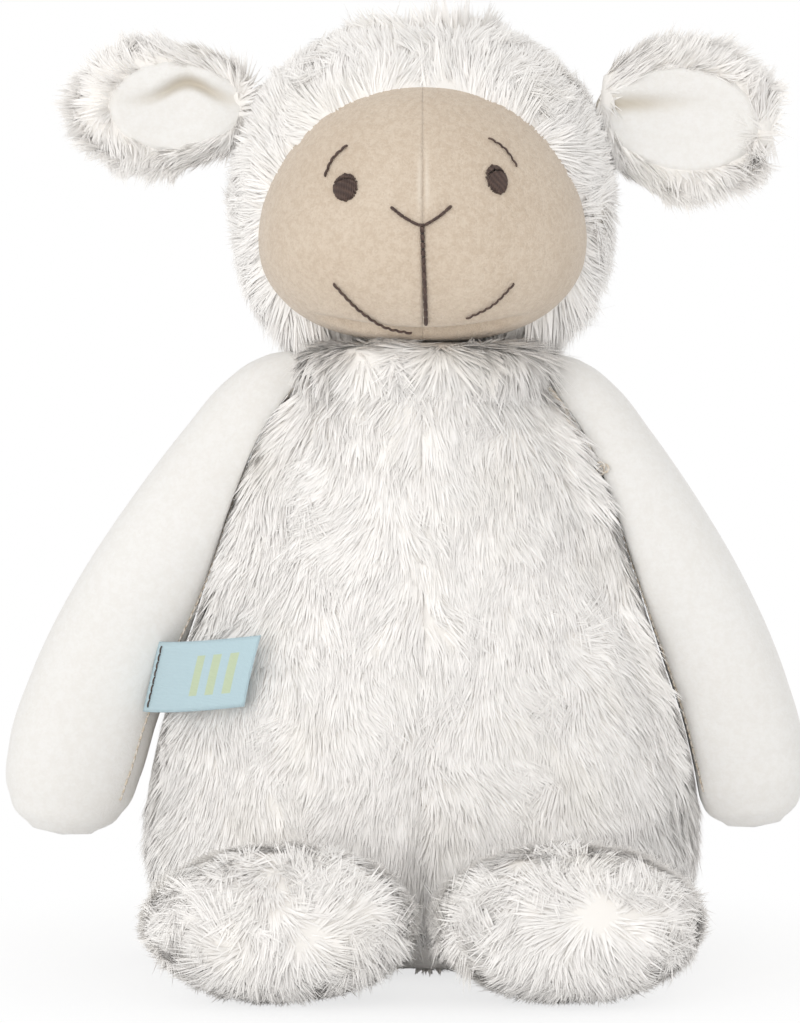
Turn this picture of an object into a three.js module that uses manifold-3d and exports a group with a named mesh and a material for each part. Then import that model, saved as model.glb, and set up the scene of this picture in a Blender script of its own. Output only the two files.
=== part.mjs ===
// A seated plush sheep: long-pile body, head, ears, legs and tail, a smooth tan face with
// embroidered features, smooth arms, and a folded ribbon label in one arm seam.
// Millimetres, +Z up. The face looks along -Y, and left and right are the sheep's own,
// so its left is +X. The origin is the middle of the flat seat that it sits on.

import * as THREE from "three";
import Module from "manifold-3d";
import { mergeVertices } from "three/addons/utils/BufferGeometryUtils.js";

const wasm = await Module();
wasm.setup();

// Fabrics, threads and fits.
const pileFabric = 8;
const smoothFabric = 2;
const faceFabric = 1.6;
const threadRadius = 0.5;
const threadLift = 1;
const satinStitch = 0.6;
const clearance = 0.3;
const swingClearance = 2.6;
const armClearance = 1.8;
const overrun = 60;

// The body, from the seat to the neck. Each station of a lump is a height, a half width
// and a half depth, as shares of the lump's own.
const torso = {
  height: 162,
  halfWidth: 78.5,
  halfDepth: 57,
  forward: 0,
  base: 0,
  seatSeamHeight: 10,
  stationShares: [
    [0, 0.66, 0.7],
    [0.035, 0.82, 0.84],
    [0.08, 0.93, 0.94],
    [0.14, 0.985, 0.99],
    [0.24, 1, 1],
    [0.381, 0.955, 0.96],
    [0.533, 0.855, 0.86],
    [0.685, 0.755, 0.76],
    [0.815, 0.665, 0.67],
    [0.914, 0.575, 0.6],
    [1, 0.44, 0.49],
  ],
};

// The pouch of pellets that weighs the seat down.
const pouch = { halfWidth: 42, halfDepth: 30, halfHeight: 15, restShare: 0.75 };

// The neck: a ball at the bottom of the head that turns in the top of the body.
const neckShare = 0.3185;
const neck = {
  rise: 3,
  ballRadius: torso.halfWidth * neckShare,
  seamTube: 1.5,
  openingDepth: 14,
};

// The head's long-pile part and the smooth face that bulges out of its front.
const headRise = 7;
const head = {
  height: 94,
  halfWidth: 54,
  halfDepth: 48,
  forward: -4,
  base: torso.height + headRise,
  stationShares: [
    [0, 0.4, 0.4],
    [0.04, 0.66, 0.62],
    [0.13, 0.86, 0.82],
    [0.28, 0.98, 0.96],
    [0.42, 1, 1],
    [0.56, 0.985, 1],
    [0.7, 0.92, 0.93],
    [0.82, 0.8, 0.8],
    [0.91, 0.62, 0.6],
    [0.97, 0.4, 0.38],
    [1, 0.16, 0.15],
  ],
};
const chinRise = 4;
const face = {
  height: 72,
  halfWidth: 45,
  halfDepth: 36,
  forward: 19,
  base: head.base + chinRise,
  rimDepth: 3,
  stationShares: [
    [0, 0.3, 0.34],
    [0.03, 0.52, 0.56],
    [0.09, 0.72, 0.76],
    [0.17, 0.87, 0.9],
    [0.26, 0.965, 0.985],
    [0.35, 1, 1],
    [0.48, 0.99, 0.98],
    [0.62, 0.92, 0.92],
    [0.75, 0.81, 0.84],
    [0.86, 0.66, 0.7],
    [0.94, 0.48, 0.55],
    [1, 0.3, 0.35],
  ],
};

// Embroidery, each place as shares of the face's half width and height.
const rightEye = { placeShares: [-0.462, 0.588], halfWidth: 3.4, halfHeight: 3.7, leanDegrees: 9 };
const leftEye = { placeShares: [0.438, 0.617], halfWidth: 2.9, halfHeight: 4, leanDegrees: 11 };
const browRightShares = [[-0.584, 0.628], [-0.536, 0.694], [-0.451, 0.744]];
const browLeftShares = [[0.391, 0.771], [0.482, 0.733], [0.56, 0.665]];
const noseShares = [[-0.191, 0.514], [-0.102, 0.472], [-0.007, 0.447], [0.084, 0.475], [0.167, 0.518]];
const mouthShares = [[-0.007, 0.419], [0.004, 0.292], [0.013, 0.167], [0.018, 0.078]];
const smileRightShares = [[-0.533, 0.231], [-0.373, 0.129], [-0.222, 0.068], [-0.067, 0.046]];
const smileLeftShares = [[0.542, 0.231], [0.409, 0.149], [0.258, 0.101]];

// An ear, root to tip: stations are a place along it, a half height and a half thickness.
const ear = {
  halfHeight: 21,
  halfThickness: 9,
  rootRadius: 7,
  rootInset: 2.5,
  rootHeightShare: 0.734,
  stalkRadius: 3.8,
  headSlopeDegrees: 23,
  cup: { halfLength: 21, halfHeight: 14, depth: 7, along: 30 },
  stationShares: [
    [0, 0.3, 0.6],
    [0.1, 0.52, 0.75],
    [0.22, 0.8, 0.95],
    [0.4, 0.97, 1],
    [0.58, 1, 1],
    [0.75, 0.9, 0.92],
    [0.88, 0.68, 0.75],
    [0.96, 0.42, 0.5],
    [1, 0.12, 0.2],
  ],
};
const rightEar = { length: 54, droopDegrees: 0, sizeShare: 0.93 };
const leftEar = { length: 56, droopDegrees: 7, sizeShare: 1.1 };

// An arm, shoulder to paw: stations are a place along it, a half width and a half depth.
// Its path bends towards its bow and ends at its tip, each as shares of the body's half
// width and height.
const arm = {
  halfDepth: 14,
  forward: 4,
  shoulderShares: [0.548, 0.9321],
  ballRadius: 15,
  seam: { inset: 9, tube: 1.4 },
  stationShares: [
    [0, 0.6, 0.75],
    [0.12, 0.72, 0.85],
    [0.3, 0.82, 0.94],
    [0.5, 0.94, 1],
    [0.7, 1, 1],
    [0.84, 1, 0.96],
    [0.93, 0.86, 0.83],
    [0.98, 0.56, 0.56],
    [1, 0.2, 0.2],
  ],
};
const rightArm = { halfWidth: 19, tipShares: [1.287, 0.216], bowShares: [1.21, 0.5556] };
const leftArm = { halfWidth: 17, tipShares: [1.185, 0.2284], bowShares: [1.121, 0.5802] };

// A leg: the foot is a lump that rests on the floor, joined to a ball at the hip. The hip
// is placed by shares of the body's half width, half depth and height.
const leg = {
  hipShares: [0.4586, 0.772, 0.1543],
  ballRadius: 18,
  shankRadius: 12,
  reach: 42,
  splay: 2,
  soleDepth: 13,
};
const foot = { halfWidth: 36.5, halfDepth: 25, halfHeight: 22, flatDepth: 0.5 };

const tail = {
  heightShare: 0.2346,
  ballRadius: 6,
  stalkRadius: 3.5,
  halfWidth: 10,
  halfDepth: 7,
  halfHeight: 13,
  drop: 7,
};

// The label: a folded ribbon that leaves the right arm's front seam and curves over the
// body. Its root's depth is a share of the arm's, the rest are shares of the body's.
const label = {
  width: 20,
  thickness: 0.9,
  leanDegrees: 13,
  rootShares: [-0.955, 0.8, 0.4938],
  bendShares: [-0.841, 0.561, 0.5],
  endShares: [-0.592, 0.754, 0.5198],
  stitchRadius: 0.4,
};

const colours = {
  pile: 0xf0ece7,
  smooth: 0xf4f1ec,
  face: 0xd9c7b0,
  thread: 0x4f3f38,
  label: 0xc3d9df,
  seam: 0xe3dccf,
  filling: 0xfafaf7,
  pellet: 0xe6e2d8,
};
const finishes = {
  pile: new THREE.MeshStandardMaterial({ color: colours.pile, roughness: 0.95, metalness: 0 }),
  smooth: new THREE.MeshStandardMaterial({ color: colours.smooth, roughness: 0.9, metalness: 0 }),
  face: new THREE.MeshStandardMaterial({ color: colours.face, roughness: 0.9, metalness: 0 }),
  thread: new THREE.MeshStandardMaterial({ color: colours.thread, roughness: 0.6, metalness: 0 }),
  label: new THREE.MeshStandardMaterial({ color: colours.label, roughness: 0.55, metalness: 0 }),
  seam: new THREE.MeshStandardMaterial({ color: colours.seam, roughness: 0.8, metalness: 0 }),
  filling: new THREE.MeshStandardMaterial({ color: colours.filling, roughness: 1, metalness: 0 }),
  pellet: new THREE.MeshStandardMaterial({ color: colours.pellet, roughness: 0.7, metalness: 0 }),
};

// Facets: points round a lump, limb, ball or thread, and rings or steps along it.
const lumpSides = 16;
const lumpRings = 9;
const limbSides = 10;
const limbRings = 7;
const ballSides = 10;
const ballRings = 7;
const pivotSides = 16;
const pivotRings = 5;
const threadSides = 5;
const threadSteps = 6;

const sheep = new THREE.Group();

// Adds a solid to the sheep as a named mesh.
function add(name, solid, material) {
  const { numProp, vertProperties, triVerts } = solid.getMesh();
  const count = vertProperties.length / numProp;
  const places = new Float32Array(count * 3);
  for (let i = 0; i < count; i++) {
    places.set(vertProperties.subarray(i * numProp, i * numProp + 3), i * 3);
  }
  const geometry = new THREE.BufferGeometry();
  geometry.setAttribute("position", new THREE.BufferAttribute(places, 3));
  geometry.setIndex(new THREE.BufferAttribute(triVerts, 1));
  geometry.computeVertexNormals();
  const mesh = new THREE.Mesh(geometry, material);
  mesh.name = name;
  sheep.add(mesh);
}

// A closed three.js geometry as a solid, moved by a matrix if one is given.
function solidOf(geometry, matrix = new THREE.Matrix4()) {
  const bare = geometry.clone().applyMatrix4(matrix);
  bare.deleteAttribute("normal");
  bare.deleteAttribute("uv");
  const merged = mergeVertices(bare);
  return new wasm.Manifold(
    new wasm.Mesh({
      numProp: 3,
      vertProperties: merged.attributes.position.array,
      triVerts: new Uint32Array(merged.index.array),
    }),
  );
}

// A closed skin through rings of points, turning anticlockwise seen from the last ring,
// with a flat cap at each end.
function skin(rings) {
  const around = rings[0].length;
  const last = (rings.length - 1) * around;
  const index = [];
  for (let start = 0; start < last; start += around) {
    for (let i = 0; i < around; i++) {
      const a = start + i;
      const b = start + ((i + 1) % around);
      index.push(a, b, b + around, a, b + around, a + around);
    }
  }
  for (let i = 1; i < around - 1; i++) {
    index.push(0, i + 1, i, last, last + i, last + i + 1);
  }
  const places = rings.flat().flatMap((p) => [p.x, p.y, p.z]);
  const geometry = new THREE.BufferGeometry();
  geometry.setAttribute("position", new THREE.Float32BufferAttribute(places, 3));
  geometry.setIndex(index);
  return solidOf(geometry);
}

// An ellipse of points about a centre, in the plane of two unit directions.
function ellipse(centre, first, firstRadius, second, secondRadius, sides) {
  return Array.from({ length: sides }, (_, i) => {
    const turn = (2 * Math.PI * i) / sides;
    return centre
      .clone()
      .addScaledVector(first, firstRadius * Math.cos(turn))
      .addScaledVector(second, secondRadius * Math.sin(turn));
  });
}

// A smooth curve through stations of shares.
function smooth(stationShares) {
  return new THREE.CatmullRomCurve3(stationShares.map((s) => new THREE.Vector3(...s)));
}

const xAxis = new THREE.Vector3(1, 0, 0);
const yAxis = new THREE.Vector3(0, 1, 0);
const zAxis = new THREE.Vector3(0, 0, 1);

// A lump of stuffed fabric: rings stacked upwards along a smooth outline. An inset makes
// the surface that lies that far inside it.
function lump(form, inset = 0) {
  const rings = smooth(form.stationShares)
    .getPoints(lumpRings)
    .map((s) => {
      const height = form.base + inset + s.x * (form.height - 2 * inset);
      const centre = new THREE.Vector3(0, -form.forward, height);
      const halfWidth = s.y * (form.halfWidth - inset);
      const halfDepth = s.z * (form.halfDepth - inset);
      return ellipse(centre, xAxis, halfWidth, yAxis, halfDepth, lumpSides);
    });
  return skin(rings);
}

// A limb along a path: rings square to it, with one half size in the path's own plane and
// the other across it.
function limb(path, form, halfWidth, halfDepth, across, inset = 0) {
  const insetShare = inset / path.getLength();
  const rings = smooth(form.stationShares)
    .getPoints(limbRings)
    .map((s) => {
      const along = insetShare + THREE.MathUtils.clamp(s.x, 0, 1) * (1 - 2 * insetShare);
      const tangent = path.getTangentAt(along);
      const side = new THREE.Vector3().crossVectors(across, tangent).normalize();
      const wide = s.y * (halfWidth - inset);
      const deep = s.z * (halfDepth - inset);
      return ellipse(path.getPointAt(along), side, wide, across, deep, limbSides);
    });
  return skin(rings);
}

function ellipsoid(centre, halfX, halfY, halfZ, sides = ballSides, rings = ballRings) {
  const matrix = new THREE.Matrix4()
    .makeTranslation(...centre)
    .multiply(new THREE.Matrix4().makeScale(halfX, halfY, halfZ));
  return solidOf(new THREE.SphereGeometry(1, sides, rings), matrix);
}

function ball(centre, radius) {
  return ellipsoid(centre, radius, radius, radius);
}

// The hollow that a faceted ball turns in: the flats of one clear the corners of the other.
function socket(centre, radius) {
  const flatShare = Math.cos(Math.PI / ballSides) * Math.cos(Math.PI / (2 * ballRings));
  return ball(centre, (radius + clearance) / flatShare);
}

// A ball that turns about one axis has its poles there, so that its hollow can be closer.
function pivotBall(centre, radius, axis) {
  const turn = new THREE.Quaternion().setFromUnitVectors(yAxis, axis);
  const size = new THREE.Vector3(radius, radius, radius);
  const matrix = new THREE.Matrix4().compose(new THREE.Vector3(...centre), turn, size);
  return solidOf(new THREE.SphereGeometry(1, pivotSides, pivotRings), matrix);
}

function pivotSocket(centre, radius, axis) {
  return pivotBall(centre, (radius + clearance) / Math.cos(Math.PI / pivotSides), axis);
}

// A box between two corners.
function block(low, high) {
  const size = high.map((value, i) => value - low[i]);
  const middle = high.map((value, i) => (value + low[i]) / 2);
  return solidOf(new THREE.BoxGeometry(...size), new THREE.Matrix4().makeTranslation(...middle));
}

// The part of space on one side of a plane square to an axis, large enough for the sheep.
const far = torso.height + head.height + overrun;
function beyond(axis, place, direction) {
  const low = [-far, -far, -far];
  const high = [far, far, far];
  if (direction > 0) low[axis] = place;
  else high[axis] = place;
  return block(low, high);
}

// Splits a solid where two panels are sewn together, at a plane square to an axis.
function sewn(solid, axis, place = 0) {
  const half = clearance / 2;
  return [
    solid.intersect(beyond(axis, place - half, -1)),
    solid.intersect(beyond(axis, place + half, 1)),
  ];
}

// A ring of gathered fabric and thread, as a torus turned by a rotation.
function seamRing(centre, radius, tube, rotation) {
  const matrix = new THREE.Matrix4().makeTranslation(...centre).multiply(rotation);
  return solidOf(new THREE.TorusGeometry(radius, tube, threadSides + 1, limbSides), matrix);
}

// Half width and half depth of a lump at a height, read from its smooth outline.
function sizeAt(form, height) {
  const share = (height - form.base) / form.height;
  const points = smooth(form.stationShares).getPoints(lumpRings);
  const next = Math.max(1, points.findIndex((p) => p.x >= share));
  const from = points[next - 1];
  const to = points[next];
  const between = (share - from.x) / (to.x - from.x);
  return {
    halfWidth: form.halfWidth * THREE.MathUtils.lerp(from.y, to.y, between),
    halfDepth: form.halfDepth * THREE.MathUtils.lerp(from.z, to.z, between),
  };
}

// A place on or near the body, from shares of its half width, half depth and height.
function bodyPlace([acrossShare, forwardShare, heightShare]) {
  return [
    acrossShare * torso.halfWidth,
    -forwardShare * torso.halfDepth,
    heightShare * torso.height,
  ];
}

// A place in the arms' own plane, from shares of the body's half width and height.
function armPlace(side, [acrossShare, heightShare]) {
  const [across, , height] = bodyPlace([side * acrossShare, 0, heightShare]);
  return [across, -arm.forward, height];
}

// Where the limbs, head and tail are sewn on.
const neckPlace = [0, 0, torso.height + neck.rise];
const shoulderPlace = (side) => armPlace(side, arm.shoulderShares);
const hipPlace = (side) => {
  const [acrossShare, forwardShare, heightShare] = leg.hipShares;
  return bodyPlace([side * acrossShare, forwardShare, heightShare]);
};
const tailHeight = torso.height * tail.heightShare;
const tailPlace = [0, sizeAt(torso, tailHeight).halfDepth, tailHeight];
const sides = [-1, 1];

// What the sewn-on parts need to be free of the body: a hollow round each ball, and one
// round each shoulder seam.
function jointHollows() {
  const seamOuter = shoulderSeamRadius() + arm.seam.tube + clearance;
  const seamInner = shoulderPlace(1)[0] - arm.seam.inset - arm.seam.tube - clearance;
  let hollows = socket(neckPlace, neck.ballRadius)
    .add(pivotSocket(tailPlace, tail.ballRadius, zAxis));
  for (const side of sides) {
    const [x, y, z] = shoulderPlace(side);
    const middle = side * (seamInner + overrun / 2);
    const place = new THREE.Matrix4()
      .makeTranslation(middle, y, z)
      .multiply(new THREE.Matrix4().makeRotationZ(Math.PI / 2));
    const radius = seamOuter / Math.cos(Math.PI / limbSides);
    hollows = hollows
      .add(socket([x, y, z], arm.ballRadius))
      .add(solidOf(new THREE.CylinderGeometry(radius, radius, overrun, limbSides), place))
      .add(pivotSocket(hipPlace(side), leg.ballRadius, xAxis));
  }
  return hollows;
}

// The seam lies round a ball, at a distance from its middle: the radius of its centre line.
function seamRadius(ballRadius, offset, tube) {
  const onBall = Math.sqrt(ballRadius ** 2 - offset ** 2);
  return (onBall + clearance + tube) / Math.cos(Math.PI / limbSides);
}

function shoulderSeamRadius() {
  return seamRadius(arm.ballRadius, arm.seam.inset, arm.seam.tube);
}

// A short neck between two points, which joins a ball to the piece that it carries.
function stalk(from, to, radius) {
  const direction = to.clone().sub(from);
  const turn = new THREE.Quaternion().setFromUnitVectors(yAxis, direction.clone().normalize());
  const middle = from.clone().lerp(to, 1 / 2);
  const matrix = new THREE.Matrix4().compose(middle, turn, new THREE.Vector3(1, 1, 1));
  return solidOf(new THREE.CylinderGeometry(radius, radius, direction.length(), ballSides), matrix);
}

// Body: four long-pile panels, a seat panel, the filling and the pellet pouch.
function makeTorso() {
  const hollows = jointHollows();
  const shell = lump(torso).subtract(lump(torso, pileFabric)).subtract(hollows);
  const seat = shell.intersect(beyond(2, torso.seatSeamHeight - clearance / 2, -1));
  const wall = shell.intersect(beyond(2, torso.seatSeamHeight + clearance / 2, 1));
  const [front, back] = sewn(wall, 1);
  for (const [name, half] of [["front", front], ["back", back]]) {
    const [right, left] = sewn(half, 0);
    add(`torso_${name}_right_panel`, right, finishes.pile);
    add(`torso_${name}_left_panel`, left, finishes.pile);
  }
  add("seat_panel", seat, finishes.pile);

  const floor = pileFabric + clearance;
  const pouchPlace = [0, 0, floor + pouch.halfHeight * pouch.restShare];
  const { halfWidth, halfDepth, halfHeight } = pouch;
  const grown = (extra) =>
    ellipsoid(pouchPlace, halfWidth + extra, halfDepth + extra, halfHeight + extra);
  const filling = lump(torso, floor).subtract(hollows).subtract(grown(clearance));
  add("torso_filling", filling, finishes.filling);
  add("pellet_pouch", grown(0).intersect(beyond(2, floor, 1)), finishes.pellet);
}

// Tail: one small long-pile pocket with a sewn root.
function makeTail() {
  const [x, y, z] = tailPlace;
  const middle = [x, y + swingClearance + tail.halfDepth, z - tail.drop];
  const root = new THREE.Vector3(x, y, z);
  const pocket = ellipsoid(middle, tail.halfWidth, tail.halfDepth, tail.halfHeight)
    .add(stalk(root, new THREE.Vector3(...middle), tail.stalkRadius))
    .add(pivotBall(tailPlace, tail.ballRadius, zAxis));
  add("tail_panel", pocket, finishes.pile);
}

// Head: two long-pile panels that run down into the neck, two face panels and the filling.
function makeHead() {
  const neckBall = (inset) => ball(neckPlace, neck.ballRadius - inset);
  const earHollows = pivotSocket(earRoot(-1), ear.rootRadius, zAxis)
    .add(pivotSocket(earRoot(1), ear.rootRadius, zAxis));

  const outside = lump(head).add(neckBall(0));
  const inside = lump(head, pileFabric).add(neckBall(faceFabric));
  const neckHeight = neckPlace[2];
  const opening = beyond(2, neckHeight - neck.openingDepth, -1);
  const pile = outside
    .subtract(inside)
    .subtract(lump(face, -clearance))
    .subtract(earHollows)
    .subtract(opening);
  const [pileRight, pileLeft] = sewn(pile, 0);
  add("head_right_panel", pileRight, finishes.pile);
  add("head_left_panel", pileLeft, finishes.pile);

  const rim = face.rimDepth - face.forward;
  const mask = lump(face)
    .subtract(lump(face, faceFabric))
    .intersect(beyond(1, rim, -1));
  const [maskRight, maskLeft] = sewn(mask, 0);
  add("face_right_panel", maskRight, finishes.face);
  add("face_left_panel", maskLeft, finishes.face);

  const faceFill = lump(face, faceFabric + clearance).intersect(beyond(1, rim + faceFabric, -1));
  const skullFill = lump(head, pileFabric + clearance)
    .add(neckBall(faceFabric + clearance))
    .subtract(lump(face, -clearance).intersect(beyond(1, rim + clearance, -1)))
    .add(faceFill)
    .subtract(earHollows);
  add("head_filling", skullFill, finishes.filling);

  const seamHeight = torso.base + torso.height + clearance + neck.seamTube;
  const radius = seamRadius(neck.ballRadius, neckHeight - seamHeight, neck.seamTube);
  const ring = seamRing([0, 0, seamHeight], radius, neck.seamTube, new THREE.Matrix4());
  add("neck_seam", ring, finishes.seam);
}

// The point of the face's front at shares across and up it, and the direction out of it.
function onFace(acrossShare, upShare) {
  const across = acrossShare * face.halfWidth;
  const up = face.base + upShare * face.height;
  const depthAt = (x, z) => {
    const { halfWidth, halfDepth } = sizeAt(face, z);
    const share = Math.min(1, Math.abs(x) / halfWidth);
    return -face.forward - halfDepth * Math.sqrt(1 - share ** 2);
  };
  const step = threadRadius;
  const y = depthAt(across, up);
  const slopeAcross = (depthAt(across + step, up) - depthAt(across - step, up)) / (2 * step);
  const slopeUp = (depthAt(across, up + step) - depthAt(across, up - step)) / (2 * step);
  const out = new THREE.Vector3(slopeAcross, -1, slopeUp).normalize();
  return { place: new THREE.Vector3(across, y, up), out };
}

// Embroidery: satin-stitched eyes, and lines of thread for the brows, nose, mouth and smile.
function makeFeatures() {
  for (const [name, eye] of [["eye_right", rightEye], ["eye_left", leftEye]]) {
    const { place, out } = onFace(...eye.placeShares);
    const lift = clearance + satinStitch;
    const middle = place.clone().addScaledVector(out, lift);
    const turn = new THREE.Quaternion().setFromUnitVectors(yAxis.clone().negate(), out);
    const leanAngle = THREE.MathUtils.degToRad(eye.leanDegrees);
    const lean = new THREE.Quaternion().setFromAxisAngle(out, leanAngle);
    const scale = new THREE.Vector3(eye.halfWidth, satinStitch, eye.halfHeight);
    const matrix = new THREE.Matrix4().compose(middle, lean.multiply(turn), scale);
    add(name, solidOf(new THREE.SphereGeometry(1, limbSides, threadSteps), matrix), finishes.thread);
  }
  const section = new THREE.Shape(
    Array.from({ length: threadSides }, (_, i) => {
      const turn = (2 * Math.PI * i) / threadSides;
      return new THREE.Vector2(threadRadius * Math.cos(turn), threadRadius * Math.sin(turn));
    }),
  );
  const lines = {
    brow_right: browRightShares,
    brow_left: browLeftShares,
    nose_stitch: noseShares,
    mouth_stitch: mouthShares,
    smile_right: smileRightShares,
    smile_left: smileLeftShares,
  };
  for (const [name, placeShares] of Object.entries(lines)) {
    const flat = new THREE.CatmullRomCurve3(placeShares.map(([x, z]) => new THREE.Vector3(x, 0, z)));
    const lifted = flat.getPoints(threadSteps).map((share) => {
      const { place, out } = onFace(share.x, share.z);
      return place.addScaledVector(out, threadLift);
    });
    const path = new THREE.CatmullRomCurve3(lifted);
    const tube = new THREE.ExtrudeGeometry(section, { steps: threadSteps, extrudePath: path });
    add(name, solidOf(tube), finishes.thread);
  }
}

function earRoot(side) {
  const height = head.base + head.height * ear.rootHeightShare;
  const across = sizeAt(head, height).halfWidth - ear.rootInset;
  return [side * across, -head.forward, height];
}

// Ears: a long-pile outer, hollowed in front, with a smooth lining in the hollow.
function makeEars() {
  for (const [name, side, sizes] of [["right", -1, rightEar], ["left", 1, leftEar]]) {
    const { length, sizeShare } = sizes;
    const droop = THREE.MathUtils.degToRad(sizes.droopDegrees);
    const headSlope = THREE.MathUtils.degToRad(ear.headSlopeDegrees);
    const root = new THREE.Vector3(...earRoot(side));
    const outwards = new THREE.Vector3(side * Math.cos(droop), 0, -Math.sin(droop));
    const path = new THREE.LineCurve3(root, root.clone().addScaledVector(outwards, length));
    const halfHeight = ear.halfHeight * sizeShare;
    const leaf = limb(path, ear, halfHeight, ear.halfThickness, yAxis);
    const place = new THREE.Matrix4()
      .makeTranslation(root.x, root.y, root.z)
      .multiply(new THREE.Matrix4().makeRotationY(side * droop));
    const cup = (inset) => {
      const { halfLength, halfHeight: cupHeight, depth, along } = ear.cup;
      const at = new THREE.Matrix4().makeTranslation(side * along, -ear.halfThickness, 0);
      const size = new THREE.Matrix4().makeScale(
        halfLength * sizeShare - inset,
        depth - inset,
        cupHeight * sizeShare - inset,
      );
      const matrix = place.clone().multiply(at).multiply(size);
      return solidOf(new THREE.SphereGeometry(1, ballSides, ballRings), matrix);
    };
    const clearOfBall = ear.rootRadius + swingClearance;
    const clearOfHead = solidOf(
      new THREE.BoxGeometry(overrun, overrun, 2 * overrun),
      new THREE.Matrix4()
        .makeTranslation(...root)
        .multiply(new THREE.Matrix4().makeRotationY(-side * headSlope))
        .multiply(new THREE.Matrix4().makeTranslation(side * (clearOfBall - overrun / 2), 0, 0)),
    );
    const neckEnd = root.clone().addScaledVector(outwards, 2 * ear.rootRadius);
    const outer = leaf
      .subtract(clearOfHead)
      .add(stalk(root, neckEnd, ear.stalkRadius))
      .add(pivotBall(root.toArray(), ear.rootRadius, zAxis))
      .subtract(cup(0));
    add(`ear_${name}_panel`, outer, finishes.pile);
    const lining = cup(clearance)
      .subtract(cup(clearance + smoothFabric))
      .intersect(leaf)
      .subtract(clearOfHead);
    add(`ear_${name}_lining`, lining, finishes.smooth);
  }
}

// The body's outline seen from the front, as a slab that arms are cut to lie against.
function bodySlab(margin) {
  const points = smooth(torso.stationShares).getPoints(lumpRings);
  const edge = points.map((s) => [s.y * torso.halfWidth + margin, torso.base + s.x * torso.height]);
  const outline = new THREE.Shape([
    ...edge.map(([x, z]) => new THREE.Vector2(x, z)),
    ...edge.reverse().map(([x, z]) => new THREE.Vector2(-x, z)),
  ]);
  const slab = new THREE.ExtrudeGeometry(outline, { depth: 2 * overrun, bevelEnabled: false });
  const upright = new THREE.Matrix4()
    .makeTranslation(0, overrun, 0)
    .multiply(new THREE.Matrix4().makeRotationX(Math.PI / 2));
  return solidOf(slab, upright);
}

// Arms: a front and a back panel of smooth fabric and the filling, on a seam ring.
function makeArms() {
  for (const [name, side, sizes] of [["right", -1, rightArm], ["left", 1, leftArm]]) {
    const shoulder = new THREE.Vector3(...shoulderPlace(side));
    const path = new THREE.QuadraticBezierCurve3(
      shoulder,
      new THREE.Vector3(...armPlace(side, sizes.bowShares)),
      new THREE.Vector3(...armPlace(side, sizes.tipShares)),
    );
    const sleeve = (inset) =>
      limb(path, arm, sizes.halfWidth, arm.halfDepth, yAxis, inset)
        .subtract(bodySlab(armClearance + inset))
        .add(ball(shoulder.toArray(), arm.ballRadius - inset));
    const fabric = sleeve(0).subtract(sleeve(smoothFabric));
    const [front, back] = sewn(fabric, 1, -arm.forward);
    add(`arm_${name}_front_panel`, front, finishes.smooth);
    add(`arm_${name}_back_panel`, back, finishes.smooth);
    add(`arm_${name}_filling`, sleeve(smoothFabric + clearance), finishes.filling);

    const ringPlace = [shoulder.x - side * arm.seam.inset, shoulder.y, shoulder.z];
    const sideways = new THREE.Matrix4().makeRotationY(Math.PI / 2);
    const ring = seamRing(ringPlace, shoulderSeamRadius(), arm.seam.tube, sideways);
    add(`shoulder_${name}_seam`, ring, finishes.seam);
  }
}

// Legs: a long-pile leg panel, a sole panel and the filling, flat where they meet the floor.
function makeLegs() {
  for (const side of sides) {
    const name = side < 0 ? "right" : "left";
    const hip = hipPlace(side);
    const { halfWidth, halfDepth, halfHeight, flatDepth } = foot;
    const middle = [hip[0] + side * leg.splay, hip[1] - leg.reach, halfHeight - flatDepth];
    const limbOf = (inset) => {
      const shank = stalk(new THREE.Vector3(...hip), new THREE.Vector3(...middle), leg.shankRadius - inset);
      return ellipsoid(middle, halfWidth - inset, halfDepth - inset, halfHeight - inset, lumpSides)
        .add(shank)
        .add(pivotBall(hip, leg.ballRadius - inset, xAxis))
        .intersect(beyond(2, inset, 1));
    };
    const fabric = limbOf(0).subtract(limbOf(pileFabric));
    const [sole, upper] = sewn(fabric, 1, middle[1] - halfDepth + leg.soleDepth);
    add(`leg_${name}_panel`, upper, finishes.pile);
    add(`sole_${name}_panel`, sole, finishes.pile);
    add(`leg_${name}_filling`, limbOf(pileFabric + clearance), finishes.filling);
  }
}

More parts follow.
